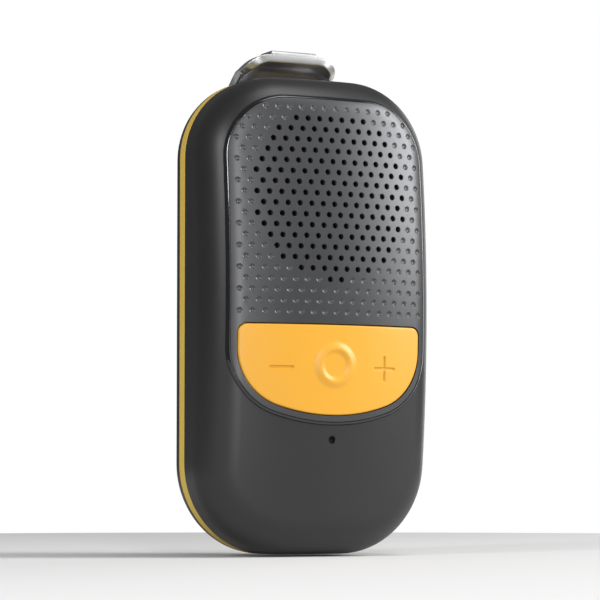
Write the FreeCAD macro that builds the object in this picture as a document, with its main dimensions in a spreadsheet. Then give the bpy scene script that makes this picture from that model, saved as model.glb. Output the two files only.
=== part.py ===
import FreeCAD, Part
import math
import os
import re
import Sketcher

# A clip-on voice amplifier in its own frame: millimetres, +Z up, +X to the right seen from the front,
# +Y to the back. The origin is the middle of the flat underside, on the plane where the front shell ends
# and the coloured band begins.

SIZES = {
    # housing: a domed front shell, a coloured band and a rear shell
    "body_width": 49.0, "body_height": 92.8, "front_depth": 16.2, "band_depth": 2.4,
    "rear_depth": 4.6, "top_corner": 16.2, "bottom_corner": 17.6, "wall": 1.8,
    "rim_radius": 8.5, "rear_rim": 4.2, "dome_across": 72.0, "dome_along": 275.0,
    "dome_height": 49.2, "band_wall": 2.6, "seal_inset": 0.9, "seal_width": 1.0,
    "seal_depth": 0.8,
    # inset panel and its bezel
    "panel_width": 42.6, "panel_top": 88.5, "panel_bottom": 24.8, "panel_top_corner": 12.6,
    "panel_low_corner": 13.4, "panel_sweep": 38.6, "panel_depth": 1.1, "panel_proud": 0.4,
    "ledge_width": 1.05,
    "bezel_width": 0.6, "bezel_round": 0.2, "trim_gap": 0.05,
    # grille
    "hole_pitch": 2.4, "hole_radius": 0.56, "dimple_radius": 0.5, "dimple_depth": 0.55,
    "hole_margin": 1.0, "hole_side": 1.5,
    "grille_height": 66.24, "speaker_height": 69.36, "sound_radius": 16.9,
    # keys
    "key_border": 1.15, "key_top": 44.2, "key_corner": 1.9, "key_split": 7.3, "key_gap": 0.2,
    "key_depth": 1.1, "key_row": 36.3, "mark_row": 35.8, "key_reach": 11.0, "key_travel": 0.4,
    "stem_radius": 1.6,
    "ring_outer": 4.35, "ring_inner": 2.5, "ring_height": 0.3, "mark_long": 4.85,
    "mark_wide": 0.5, "mark_deep": 0.3, "membrane_depth": 0.5, "membrane_lip": 0.6,
    "switch_side": 4.0, "switch_body": 0.8, "cap_radius": 1.0, "cap_height": 0.35,
    "board_depth": 1.0, "key_board_front": 6.9, "key_board_width": 34.0, "key_board_height": 17.0,
    # speaker
    "speaker_radius": 17.5, "speaker_front": 6.1, "flange_depth": 1.0, "basket_depth": 4.0,
    "basket_back": 10.4, "basket_wall": 0.8, "magnet_depth": 3.0, "yoke_depth": 1.0,
    "cone_wall": 0.4, "surround_width": 2.4, "coil_radius": 6.0, "coil_wall": 0.3,
    "mesh_depth": 0.3, "gasket_width": 2.0,
    # microphone
    "mic_height": 22.0, "mic_hole": 0.72, "mic_radius": 3.0, "mic_depth": 2.2, "mic_front": 3.6,
    "boot_wall": 0.9,
    # electrics
    "chassis_depth": 1.0, "chassis_foot": 14.6, "chassis_top": 49.0, "battery_width": 30.0,
    "battery_height": 32.0, "battery_depth": 6.2, "battery_foot": 15.5, "battery_round": 1.0,
    "pad_depth": 0.8, "board_side": 3.0, "board_height": 29.0, "board_foot": 48.8,
    "board_gap": 0.4, "chip_side": 7.0, "chip_depth": 1.2, "port_width": 8.94, "port_deep": 7.3,
    "port_tall": 3.2, "port_height": 60.0, "port_wall": 0.3, "tongue_depth": 0.7,
    "wire_radius": 0.5, "wire_bend": 1.5, "wire_spread": 1.6, "port_inset": 0.15, "lead_room": 1.5,
    "lead_turn": 216.0,
    # fasteners
    "boss_radius": 2.9, "boss_across": 15.5, "boss_upper": 84.0, "boss_lower": 11.0,
    "boss_length": 9.0, "screw_radius": 1.0, "head_radius": 1.85, "head_depth": 1.2,
    "screw_bite": 6.0, "fit_gap": 0.05,
    # belt clip
    "clip_width": 22.0, "clip_thick": 1.6, "clip_gap": 4.8, "clip_rise": 5.9, "clip_bend": 3.5,
    "clip_hook": 7.0, "clip_lean": 87.5, "arm_bend": 8.0, "knee_bend": 32.0, "toe_bend": 6.4,
    "clip_corner": 3.0, "tab_front": 1.7, "clip_tip": 19.5, "clip_toe": 25.5, "clip_knee": 46.0,
    "toe_gap": 1.2, "toe_flare": 1.6, "rib_width": 10.2, "rib_height": 0.8, "rib_length": 6.0,
    "pivot_height": 84.0, "pin_radius": 0.9, "pin_clearance": 0.04, "knuckle_gap": 0.2,
    "ear_thick": 1.4, "ear_across": 4.6, "lug_thick": 1.6, "side_gap": 0.3, "pin_end": 0.3,
    "bracket_depth": 1.0, "bracket_width": 15.0, "bracket_foot": 71.5, "bracket_top": 88.0,
    "bracket_screw": 75.0, "bracket_reach": 4.5, "spring_wire": 0.25, "spring_radius": 1.25,
    "spring_pitch": 0.7, "spring_length": 3.5, "spring_leg": 2.2, "pad_wide": 11.0,
    "pad_tall": 7.0, "grip_depth": 0.8, "pad_start": 1.8,
}

doc = FreeCAD.newDocument("voice_amplifier")
sheet = doc.addObject("Spreadsheet::Sheet", "Sizes")
for row, (alias, value) in enumerate(SIZES.items(), start=1):
    sheet.set(f"A{row}", alias)
    sheet.set(f"B{row}", str(value))
    sheet.setAlias(f"B{row}", alias)
doc.recompute()

TO_BACK = FreeCAD.Rotation(FreeCAD.Vector(1, 0, 0), -90)
TO_RIGHT = FreeCAD.Rotation(FreeCAD.Vector(0, 1, 0), 90)
UPRIGHT = FreeCAD.Rotation(FreeCAD.Vector(1, 0, 0), 90)
FRONT = "-front_depth"
REAR = "(band_depth + rear_depth)"
BEYOND = 5.0
ROW_RISE = math.sqrt(3) / 2
nodes = {}


def expr(text):
    """An expression in which each driving dimension's name stands for its cell."""
    found = r"\b[a-z]+(?:_[a-z]+)+\b|\bwall\b"
    return re.sub(found, lambda m: "Sizes." + m.group() if m.group() in SIZES else m.group(), str(text))


def evaluate(text):
    """The present value of an expression on the driving dimensions."""
    return float(sheet.evalExpression(expr(text).replace("Sizes.", "")))


def bind(made, **sizes):
    """Binds properties to expressions."""
    for prop, text in sizes.items():
        made.setExpression(prop, expr(text))
    return made


def place(made, x, y, z, rotation=None):
    """Sets an object's turn, and binds its position."""
    if rotation:
        made.Placement = FreeCAD.Placement(FreeCAD.Vector(), rotation)
    for axis, text in (("x", x), ("y", y), ("z", z)):
        made.setExpression("Placement.Base." + axis, expr(text))
    return made


def box(name, wide, deep, tall, x, y, z):
    """A box centred on x, that starts at y and at z."""
    made = bind(doc.addObject("Part::Box", name), Length=wide, Width=deep, Height=tall)
    return place(made, f"({x}) - ({wide})/2", y, z)


def rod(name, radius, length, x, y, z, rotation=TO_BACK):
    """A cylinder from x, y, z towards the back, or along another turned axis."""
    made = bind(doc.addObject("Part::Cylinder", name), Radius=radius, Height=length)
    return place(made, x, y, z, rotation)


def taper(name, front_radius, back_radius, length, x, y, z):
    """A cone from x, y, z towards the back."""
    made = doc.addObject("Part::Cone", name)
    bind(made, Radius1=front_radius, Radius2=back_radius, Height=length)
    return place(made, x, y, z, TO_BACK)


def cut(name, base, *tools):
    """A shape with the tools taken away."""
    made = doc.addObject("Part::Cut", name)
    made.Base = base
    made.Tool = tools[0] if len(tools) == 1 else group(name + "_tools", *tools)
    return made


def common(name, *shapes):
    """What all of the shapes share."""
    made = doc.addObject("Part::MultiCommon", name)
    made.Shapes = list(shapes)
    return made


def fuse(name, *shapes):
    """The shapes joined as one."""
    made = doc.addObject("Part::MultiFuse", name)
    made.Shapes = list(shapes)
    return made


def group(name, *shapes):
    """Separate solids in one object, such as identical screws."""
    made = doc.addObject("Part::Compound", name)
    made.Links = list(shapes)
    return made


def rounded(name, base, radius, wanted):
    """Rounds the edges of base for which wanted(edge) holds."""
    doc.recompute()
    made = doc.addObject("Part::Fillet", name)
    made.Base = base
    value = evaluate(radius)
    edges = enumerate(base.Shape.Edges, start=1)
    made.Edges = [(index, value, value) for index, edge in edges if wanted(edge)]
    return made


def node(name, made):
    """Names a finished sub-part; its label is its file's name."""
    made.Label = name
    nodes[name] = made
    return made


def outline(name, y, half, top, bottom, top_corner, low_corner, sweep=None):
    """A sketch of a closed outline seen from the front: straight sides, a flat top and round corners.

    Its bottom is flat, or with a sweep it is a shallow arc of that radius about the middle.
    """
    side, high, low, upper, lower = (
        evaluate(text) for text in (half, top, bottom, top_corner, low_corner)
    )
    big = evaluate(sweep) if sweep else 0.0
    lean = math.asin((side - lower) / (big - lower)) if sweep else 0.0
    low_centre = low + (big - (big - lower) * math.cos(lean) if sweep else lower)
    sketch = doc.addObject("Sketcher::SketchObject", name)
    place(sketch, "0", y, "0", UPRIGHT)
    quarter = math.pi / 2
    for x, z, radius, start, end in (
        (side - upper, high - upper, upper, 0.0, quarter),
        (upper - side, high - upper, upper, quarter, 2 * quarter),
        (lower - side, low_centre, lower, 2 * quarter, 3 * quarter - lean),
        (side - lower, low_centre, lower, 3 * quarter + lean, 4 * quarter),
    ):
        circle = Part.Circle(FreeCAD.Vector(x, z, 0), FreeCAD.Vector(0, 0, 1), radius)
        sketch.addGeometry(Part.ArcOfCircle(circle, start, end))
    ends = [(sketch.Geometry[i].StartPoint, sketch.Geometry[i].EndPoint) for i in range(4)]
    for here in range(4):
        if here == 2 and sweep:
            circle = Part.Circle(FreeCAD.Vector(0, low + big, 0), FreeCAD.Vector(0, 0, 1), big)
            sketch.addGeometry(Part.ArcOfCircle(circle, 3 * quarter - lean, 3 * quarter + lean))
        else:
            sketch.addGeometry(Part.LineSegment(ends[here][1], ends[(here + 1) % 4][0]))
    for here in range(4):
        sketch.addConstraint(Sketcher.Constraint("Tangent", here, 2, 4 + here, 1))
        sketch.addConstraint(Sketcher.Constraint("Tangent", 4 + here, 2, (here + 1) % 4, 1))
    for kind, first in (("Horizontal", 4), ("Vertical", 5), ("Vertical", 7)):
        sketch.addConstraint(Sketcher.Constraint(kind, first))
    sketch.addConstraint(Sketcher.Constraint("Equal", 0, 1))
    sketch.addConstraint(Sketcher.Constraint("Equal", 2, 3))
    driving = [
        ("TopCorner", ("Radius", 0, upper), top_corner),
        ("LowCorner", ("Radius", 2, lower), low_corner),
        ("RightSide", ("DistanceX", -1, 1, 7, 1, side), half),
        ("LeftSide", ("DistanceX", 5, 1, -1, 1, side), half),
        ("TopEdge", ("DistanceY", -1, 1, 4, 1, high), top),
    ]
    if sweep:
        sketch.addConstraint(Sketcher.Constraint("PointOnObject", 6, 3, -2))
        driving.append(("Sweep", ("Radius", 6, big), sweep))
        driving.append(("Middle", ("DistanceY", -1, 1, 6, 3, low + big), f"({bottom}) + ({sweep})"))
    else:
        sketch.addConstraint(Sketcher.Constraint("Horizontal", 6))
        driving.append(("Tall", ("DistanceY", 6, 1, 4, 1, high - low), f"({top}) - ({bottom})"))
    for label, values, text in driving:
        index = sketch.addConstraint(Sketcher.Constraint(*values))
        sketch.renameConstraint(index, label)
        sketch.setExpression("Constraints." + label, expr(text))
    return sketch


def prism(name, start, end, *shape):
    """An outline drawn at one depth and extruded straight back to another."""
    made = doc.addObject("Part::Extrusion", name)
    made.Base = outline(name + "_outline", start, *shape)
    made.DirMode = "Custom"
    made.Dir = FreeCAD.Vector(0, 1, 0)
    made.Solid = True
    return bind(made, LengthFwd=f"({end}) - ({start})")


def body_outline(inset):
    """The housing's outline, moved in all round."""
    return (
        f"body_width/2 - ({inset})", f"body_height - ({inset})", f"({inset})",
        f"top_corner - ({inset})", f"bottom_corner - ({inset})",
    )


def panel_outline(inset):
    """The panel's outline, moved in all round."""
    return (
        f"panel_width/2 - ({inset})", f"panel_top - ({inset})", f"panel_bottom + ({inset})",
        f"panel_top_corner - ({inset})", f"panel_low_corner - ({inset})", f"panel_sweep - ({inset})",
    )


def key_outline(inset):
    """The keys' common outline: the panel's lower part, under a flat top."""
    within = f"bezel_width + key_border + ({inset})"
    half, _, bottom, _, low_corner, sweep = panel_outline(within)
    return half, f"key_top - ({inset})", bottom, f"key_corner - ({inset})", low_corner, sweep


hulls = {}


def hull(inset):
    """The housing's domed front as one solid back to the band, with its surface moved in."""
    if inset in hulls:
        return hulls[inset]
    name = f"hull_{len(hulls)}"
    block = prism(name + "_block", f"{FRONT} - {BEYOND}", "0", *body_outline(inset))
    dome = doc.addObject("Part::Torus", name + "_dome")
    bind(dome, Radius1="dome_along - dome_across", Radius2=f"dome_across - ({inset})")
    place(dome, "0", f"{FRONT} + dome_along", "dome_height", TO_RIGHT)
    sharp = common(name + "_sharp", block, dome)
    doc.recompute()
    crown = next(f for f in sharp.Shape.Faces if isinstance(f.Surface, Part.Toroid))
    radius = f"rim_radius - ({inset})"
    hulls[inset] = rounded(name, sharp, radius, lambda e: any(e.isSame(c) for c in crown.Edges))
    return hulls[inset]


def above(name, inset, *shape):
    """A prism of everything in front of the housing's surface moved in: it cuts a pocket that deep."""
    return cut(name, prism(name + "_all", f"{FRONT} - {BEYOND}", "0", *shape), hull(inset))


def layer(name, outer, inner, *shape):
    """The part of the front between two depths under its surface, inside an outline."""
    whole = prism(name + "_all", f"{FRONT} - {BEYOND}", "0", *shape)
    return cut(name, common(name + "_front", whole, hull(outer)), hull(inner))


def slot(name, tall, wide, length, x, y, z):
    """A bar with round ends that lies along X; its section is wide along Z and tall along Y."""
    ends = [
        rod(f"{name}_end_{i}", f"({tall})/2", length, x, y,
            f"({z}) + ({side})*(({wide}) - ({tall}))/2", TO_RIGHT)
        for i, side in enumerate((-1, 1))
    ]
    middle = bind(doc.addObject("Part::Box", name + "_bar"),
                  Length=length, Width=tall, Height=f"({wide}) - ({tall})")
    place(middle, x, f"({y}) - ({tall})/2", f"({z}) - (({wide}) - ({tall}))/2")
    return fuse(name, middle, *ends)


def ring(name, outer, inner, length, y, z):
    """A tube about the depth axis, at a height."""
    core = rod(name + "_core", inner, f"({length}) + 2", "0", f"({y}) - 1", z)
    return cut(name, rod(name + "_disc", outer, length, "0", y, z), core)


# Housing
bosses = [(f"{side} * boss_across", high) for high in ("boss_upper", "boss_lower") for side in (-1, 1)]
front_rods = [
    rod(f"front_boss_{i}", "boss_radius", "boss_length", x, "-boss_length", z)
    for i, (x, z) in enumerate(bosses)
]
flange = f"({FRONT} + speaker_front)"
flange_back = f"({flange} + flange_depth)"
basket_end = f"({flange_back} + basket_depth)"
board_y = f"({basket_end} + magnet_depth + yoke_depth + board_gap)"
port_y = f"({board_y} - port_tall/2)"
port_x = "(body_width/2 - port_inset - port_deep)"
front_shell = cut(
    "front_shell",
    fuse(
        "front_walls",
        cut("front_hollow", hull("0"), hull("wall")),
        common("front_bosses", hull("0"), group("front_rods", *front_rods)),
    ),
    above("panel_pocket", "panel_depth", *panel_outline("0")),
    prism("panel_window", f"{FRONT} - {BEYOND}", f"{FRONT} + speaker_front", *panel_outline("ledge_width")),
    rod("mic_opening", "mic_hole", "mic_front + 1", "0", f"{FRONT} - 1", "mic_height"),
    slot("port_opening", "port_tall + 2*fit_gap", "port_width + 2*fit_gap", "port_deep + 1",
         port_x, port_y, "port_height"),
    *[
        rod(f"pilot_{i}", "screw_radius + fit_gap/2", "screw_bite + 1", x, "-screw_bite", z)
        for i, (x, z) in enumerate(bosses)
    ],
)
node("front_shell", front_shell)

seal_lines = [body_outline(f"seal_inset{more}") for more in ("", " + seal_width")]
seal_parts = [
    prism(f"seal_line_{i}", "band_depth - seal_depth", "band_depth", *line)
    for i, line in enumerate(seal_lines)
]
seal = cut("seal_ring", *seal_parts)
band = cut(
    "band_ring",
    prism("band_outside", "0", "band_depth", *body_outline("0")),
    prism("band_inside", "-1", "band_depth + 1", *body_outline("band_wall")),
    cut("seal_groove", *[
        prism(f"groove_line_{i}", "band_depth - seal_depth", "band_depth + 1", *line)
        for i, line in enumerate(seal_lines)
    ]),
)
node("colour_band", band)
node("housing_seal", seal)


def rear_block(name, inset, back, rim):
    """The rear shell's outside or inside: a block whose back edge is rounded."""
    block = prism(name + "_block", "band_depth", back, *body_outline(inset))
    limit = evaluate(back) - 0.001
    return rounded(name, block, rim, lambda e: e.BoundBox.YMin > limit)


rear_inside = f"{REAR} - wall"
screw_front = f"{REAR} - head_depth"
rear_rods = [
    rod(f"rear_boss_{i}", "boss_radius", f"{rear_inside} + fit_gap", x, "0", z)
    for i, (x, z) in enumerate(bosses)
]
bracket_holes = [(f"{side} * bracket_reach", "bracket_screw") for side in (-1, 1)]
nut_rods = [
    rod(f"bracket_boss_{i}", "2*screw_radius", "2*wall", x, f"{REAR} - 2*wall", z)
    for i, (x, z) in enumerate(bracket_holes)
]
rear_shell = cut(
    "rear_shell_cut",
    fuse(
        "rear_walls",
        cut("rear_hollow", rear_block("rear_outside", "0", REAR, "rear_rim"),
            rear_block("rear_cavity", "wall", rear_inside, "rear_rim - wall")),
        *rear_rods, *nut_rods,
    ),
    *[
        rod(f"rear_hole_{i}", "screw_radius + fit_gap", f"{REAR} + 2", x, "-1", z)
        for i, (x, z) in enumerate(bosses)
    ],
    *[
        rod(f"head_pocket_{i}", "head_radius + fit_gap", "head_depth + 1", x, screw_front, z)
        for i, (x, z) in enumerate(bosses)
    ],
    *[
        rod(f"bracket_pilot_{i}", "screw_radius + fit_gap/2", "2*wall + 2", x, f"{REAR} - 2*wall - 1", z)
        for i, (x, z) in enumerate(bracket_holes)
    ],
)
node("rear_shell", rear_shell)


def screw(name, x, head_at, z, length):
    """A screw that is driven from the back; head_at is the depth of its head's underside."""
    shank = rod(name + "_shank", "screw_radius", length, x, f"({head_at}) - ({length})", z)
    head = rod(name + "_head", "head_radius", "head_depth", x, head_at, z)
    drive = rod(name + "_drive", "screw_radius*0.6", "head_depth", x, f"({head_at}) + head_depth/2", z)
    return cut(name, fuse(name + "_whole", shank, head), drive)


node("housing_screws", group("housing_screw_set", *[
    screw(f"housing_screw_{i}", x, screw_front, z, f"{screw_front} + screw_bite")
    for i, (x, z) in enumerate(bosses)
]))

# Panel, bezel and grille
bezel = cut(
    "bezel_layer",
    layer("bezel_whole", "-panel_proud", "panel_depth", *panel_outline("trim_gap")),
    prism("bezel_hole", f"{FRONT} - {BEYOND}", "0", *panel_outline("bezel_width")),
)
doc.recompute()
bezel_crown = [f for f in bezel.Shape.Faces if isinstance(f.Surface, Part.Toroid)]
bezel_front = min(bezel_crown, key=lambda f: f.CenterOfMass.y)
bezel_edge = bezel_front.OuterWire.Edges
node("bezel_ring", rounded("bezel_round_edge", bezel, "bezel_round",
                           lambda e: any(e.isSame(c) for c in bezel_edge)))


def grille_holes():
    """Staggered rows of holes: through holes over the speaker, shallow dimples round them."""
    pitch = evaluate("hole_pitch")
    half, top = evaluate("panel_width/2"), evaluate("panel_top")
    corner, margin = evaluate("panel_top_corner"), evaluate("hole_margin")
    widest, highest = half - evaluate("hole_side"), top - pitch
    lowest = evaluate("key_top + hole_pitch*0.5")
    centre, speaker = evaluate("grille_height"), evaluate("speaker_height")
    rows = int(math.floor((highest - centre) / (pitch * ROW_RISE) + 0.5))
    last = int(math.floor((centre - lowest) / (pitch * ROW_RISE) - 0.5))
    through, blind = [], []
    for step in range(-rows, last + 1):
        z = centre - (step + 0.5) * pitch * ROW_RISE
        shift = 0.5 if step % 2 == 0 else 0.0
        for column in range(-12, 13):
            x = (column + shift) * pitch
            over, beyond = max(abs(x) - half + corner, 0.0), max(z - top + corner, 0.0)
            if abs(x) > widest or math.hypot(over, beyond) > corner - margin:
                continue
            inside = math.hypot(x, z - speaker) <= evaluate("sound_radius") and step > -rows
            (through if inside else blind).append((x, z))
    return through, blind


through_spots, blind_spots = grille_holes()


def pins(name, spots, radius):
    """Straight pins through the front at each spot, as one tool."""
    start = evaluate(f"{FRONT} - 1")
    made = doc.addObject("Part::Feature", name)
    made.Shape = Part.makeCompound([
        Part.makeCylinder(evaluate(radius), -start, FreeCAD.Vector(x, start, z), FreeCAD.Vector(0, 1, 0))
        for x, z in spots
    ])
    return made


panel = cut(
    "panel_cut",
    layer("panel_whole", "-panel_proud", "panel_depth", *panel_outline("bezel_width + trim_gap")),
    prism("key_window", f"{FRONT} - {BEYOND}", "0", *key_outline("0")),
    pins("sound_pins", through_spots, "hole_radius"),
    cut("dimple_pins", pins("blind_pins", blind_spots, "dimple_radius"), hull("dimple_depth - panel_proud")),
)
node("grille_panel", panel)

# Keys: three pads in one window, that slide straight back onto their switches
key_sheet = layer("key_sheet", "-panel_proud", "key_depth", *key_outline("key_gap"))
switch_y = f"{FRONT} + key_board_front - switch_body"
stem_end = f"{switch_y} - cap_height - key_travel - fit_gap"
split_gap = "key_gap/2"
keys = {
    "minus": (-1, "-key_reach"),
    "centre": (0, "0"),
    "plus": (1, "key_reach"),
}
for name, (side, x) in keys.items():
    wide = f"2*(key_split - {split_gap})" if side == 0 else "body_width"
    middle = "0" if side == 0 else f"{side}*(key_split + {split_gap} + body_width/2)"
    zone = box(name + "_zone", wide, "front_depth + 5", "body_height", middle, f"{FRONT} - {BEYOND}", "0")
    stem = common(
        name + "_stem",
        rod(name + "_rod", "stem_radius", f"{stem_end} - ({FRONT})", x, FRONT, "key_row"),
        hull("key_depth/2"),
    )
    pad = common(name + "_pad", key_sheet, zone)
    if name == "centre":
        bead = ring("ring_tube", "ring_outer", "ring_inner", "front_depth", f"{FRONT} - 1", "key_row")
        raised = common("ring_layer", bead, hull("-panel_proud - ring_height"))
        bead = cut("ring_bead", raised, hull("key_depth/2"))
        solid = fuse("centre_key_whole", pad, stem, bead)
    else:
        marks = [box(name + "_mark", "mark_long", "front_depth", "mark_wide", x, f"{FRONT} - 1",
                     "mark_row - mark_wide/2")]
        if name == "plus":
            marks.append(box("plus_mark_upright", "mark_wide", "front_depth", "mark_long", x,
                             f"{FRONT} - 1", "mark_row - mark_long/2"))
        mark = cut(name + "_groove", group(name + "_marks", *marks), hull("mark_deep - panel_proud"))
        solid = cut(name + "_key_marked", fuse(name + "_key_whole", pad, stem), mark)
    node(name + "_key", solid)
    node(name + "_switch", fuse(
        name + "_switch_whole",
        box(name + "_switch_body", "switch_side", "switch_body", "switch_side", x, switch_y,
            "key_row - switch_side/2"),
        rod(name + "_switch_cap", "cap_radius", "cap_height + switch_body/2", x,
            f"{switch_y} - cap_height", "key_row"),
    ))

membrane_front = "key_depth + key_travel + 2*fit_gap"
lip = cut(
    "membrane_lip",
    layer("lip_whole", "panel_depth", membrane_front, *key_outline("-membrane_lip")),
    prism("lip_inside", f"{FRONT} - {BEYOND}", "0", *key_outline("-fit_gap")),
)
membrane_back = f"{membrane_front} + membrane_depth"
membrane = cut(
    "membrane_cut",
    fuse("membrane_whole", lip,
         layer("membrane_sheet", membrane_front, membrane_back, *key_outline("-membrane_lip"))),
    *[
        rod(name + "_stem_hole", "stem_radius + side_gap", "front_depth", x, f"{FRONT} - 1", "key_row")
        for name, (side, x) in keys.items()
    ],
)
node("key_membrane", membrane)
node("key_board", box(
    "key_board_plate", "key_board_width", "board_depth", "key_board_height", "0",
    f"{FRONT} + key_board_front", "key_row - key_board_height/2",
))

# Speaker, from the cloth behind the grille to the yoke
speaker = "speaker_height"
surround_middle = "speaker_radius - gasket_width - surround_width/2"
cloth_depth = "panel_depth + trim_gap + mesh_depth"
cloth = rod("cloth_rod", "speaker_radius - 0.5", "front_depth", "0", FRONT, speaker)
node("dust_cloth", cut("cloth_layer", common("cloth_front", cloth, hull("panel_depth + trim_gap")),
                       hull(cloth_depth)))
gasket = ring("gasket_tube", "speaker_radius - 0.5", "speaker_radius - gasket_width", "speaker_front",
              FRONT, speaker)
node("speaker_gasket", common("gasket_front", gasket, hull(cloth_depth)))
cone_front = f"{surround_middle} - surround_width/2"
cone_back = f"({flange_back} + basket_depth*0.4)"
basket = cut(
    "basket_cut",
    fuse(
        "basket_whole",
        ring("basket_flange", "speaker_radius", cone_front + " + surround_width/2", "flange_depth",
             flange, speaker),
        taper("basket_cone", "speaker_radius - lead_room", "basket_back", "basket_depth", "0", flange_back,
              speaker),
    ),
    taper("basket_hollow", "speaker_radius - lead_room - basket_wall", "basket_back - basket_wall",
          "basket_depth - basket_wall", "0", flange_back, speaker),
    rod("basket_throat", "coil_radius + coil_wall + 2*fit_gap", "basket_depth + 2", "0",
        f"{basket_end} - 2*basket_wall", speaker),
)
node("speaker_basket", basket)
node("speaker_magnet", ring("magnet_ring", "basket_back", "coil_radius + coil_wall + 2*fit_gap",
                            "magnet_depth", basket_end, speaker))
pole = "coil_radius - 2*fit_gap"
node("speaker_yoke", fuse(
    "yoke_whole",
    rod("yoke_plate", "basket_back", "yoke_depth", "0", f"{basket_end} + magnet_depth", speaker),
    rod("yoke_pole", pole, "magnet_depth + 2*fit_gap", "0", f"{basket_end} - 2*fit_gap + fit_gap", speaker),
))
node("voice_coil", ring("coil_tube", "coil_radius + coil_wall", "coil_radius",
                        f"{basket_end} + magnet_depth/2 - ({cone_back})", cone_back, speaker))
node("speaker_cone", cut(
    "cone_cut",
    taper("cone_outside", cone_front, "coil_radius + coil_wall", f"{cone_back} - {flange}", "0", flange,
          speaker),
    taper("cone_inside", f"{cone_front} - cone_wall", "coil_radius + coil_wall - cone_wall",
          f"{cone_back} - {flange}", "0", flange, speaker),
))


def half_roll(name, thick):
    """The front half of a torus: a rolled surround."""
    whole = doc.addObject("Part::Torus", name + "_torus")
    bind(whole, Radius1=surround_middle, Radius2=f"surround_width/2 - ({thick})")
    place(whole, "0", flange, speaker, TO_BACK)
    half = rod(name + "_half", "speaker_radius", "speaker_front", "0", f"{flange} - speaker_front", speaker)
    return common(name, whole, half)


node("speaker_surround", cut("surround_cut", half_roll("surround_outside", "0"),
                             half_roll("surround_inside", "cone_wall")))


def cap_ball(name, less):
    """The dust cap's ball, less a wall."""
    made = bind(doc.addObject("Part::Sphere", name), Radius=f"2*coil_radius - ({less})")
    return place(made, "0", f"{cone_back} + coil_radius*1.2", speaker)


cap_front = rod("cap_front", "coil_radius", "speaker_front", "0", f"{cone_back} - speaker_front", speaker)
node("dust_cap", common("cap_shape", cut("cap_shell", cap_ball("cap_outside", "0"),
                                         cap_ball("cap_inside", "cone_wall")), cap_front))

# Microphone
mic_y = f"({FRONT} + mic_front)"
node("mic_capsule", rod("mic_can", "mic_radius", "mic_depth", "0", mic_y, "mic_height"))
boot = common(
    "boot_front",
    rod("boot_rod", "mic_radius + boot_wall", "mic_front + mic_depth - fit_gap", "0", FRONT, "mic_height"),
    hull("wall + fit_gap"),
)
node("mic_boot", cut(
    "boot_cut", boot,
    rod("boot_pocket", "mic_radius", "mic_depth + 1", "0", mic_y, "mic_height"),
    rod("boot_port", "mic_hole", "front_depth", "0", f"{FRONT} - 1", "mic_height"),
))

# Chassis, battery and boards
chassis_y = f"({FRONT} + key_board_front + board_depth)"
chassis_plate = box("chassis_plate", "body_width", "chassis_depth", "chassis_top - chassis_foot", "0",
                    chassis_y, "chassis_foot")
node("chassis", common("chassis_fit", chassis_plate, hull("wall + fit_gap")))
pad_y = f"({chassis_y} + chassis_depth)"
node("battery_pad", box("battery_foam", "battery_width - 2*battery_round", "pad_depth",
                        "battery_height - 2*battery_round", "0", pad_y, "battery_foot + battery_round"))
cell = box("battery_block", "battery_width", "battery_depth", "battery_height", "0",
           f"{pad_y} + pad_depth", "battery_foot")
node("battery_pack", rounded("battery_rounded", cell, "battery_round", lambda e: True))
node("main_board", box("main_board_plate", "body_width - 2*board_side", "board_depth", "board_height",
                       "0", board_y, "board_foot"))
node("amplifier_chip", box("amplifier_body", "chip_side", "chip_depth", "chip_side", "-chip_side",
                           f"{board_y} + board_depth", "board_foot + board_height/2"))
port_shell = cut(
    "port_hollow",
    slot("port_outside", "port_tall", "port_width", "port_deep", port_x, port_y, "port_height"),
    slot("port_inside", "port_tall - 2*port_wall", "port_width - 2*port_wall", "port_deep",
         f"{port_x} + 2*port_wall", port_y, "port_height"),
)
node("charge_port", port_shell)
tongue = bind(doc.addObject("Part::Box", "tongue_bar"), Length="port_deep*0.75", Width="tongue_depth",
              Height="port_width*0.75")
node("port_tongue", place(tongue, f"{port_x} + 2*port_wall", f"{port_y} - tongue_depth/2",
                          "port_height - port_width*0.375"))


def lead_pair(name, route):
    """Two wires side by side, each along straight runs joined by tangent arcs."""
    wires = [wire_tube(f"{name}_{i}", route, shift) for i, shift in enumerate((-0.5, 0.5))]
    return group(name, *wires)


def wire_tube(name, route, shift):
    """One wire: a round section swept along its route, moved sideways by a share of the spread."""
    side = shift * evaluate("wire_spread")
    points = [FreeCAD.Vector(evaluate(x) + side, evaluate(y), evaluate(z)) for x, y, z in route]
    path = Part.Wire(rounded_path(points, [evaluate("wire_bend")] * (len(points) - 2)))
    way = points[1] - points[0]
    section = Part.Wire([Part.makeCircle(evaluate("wire_radius"), points[0], way)])
    made = doc.addObject("Part::Feature", name)
    made.Shape = path.makePipeShell([section], True, False)
    return made


def rounded_path(points, radii):
    """Edges of a path through points, with a tangent arc of the given radius at each inner one."""
    edges, start = [], points[0]
    for before, here, after, radius in zip(points, points[1:], points[2:], radii):
        back = (before - here).normalize()
        ahead = (after - here).normalize()
        half_angle = back.getAngle(ahead) / 2
        reach = radius / math.tan(half_angle)
        first, last = here + back * reach, here + ahead * reach
        towards = (back + ahead).normalize()
        middle = here + towards * (radius / math.sin(half_angle) - radius)
        edges.append(Part.LineSegment(start, first).toShape())
        edges.append(Part.Arc(first, middle, last).toShape())
        start = last
    edges.append(Part.LineSegment(start, points[-1]).toShape())
    return edges


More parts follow.
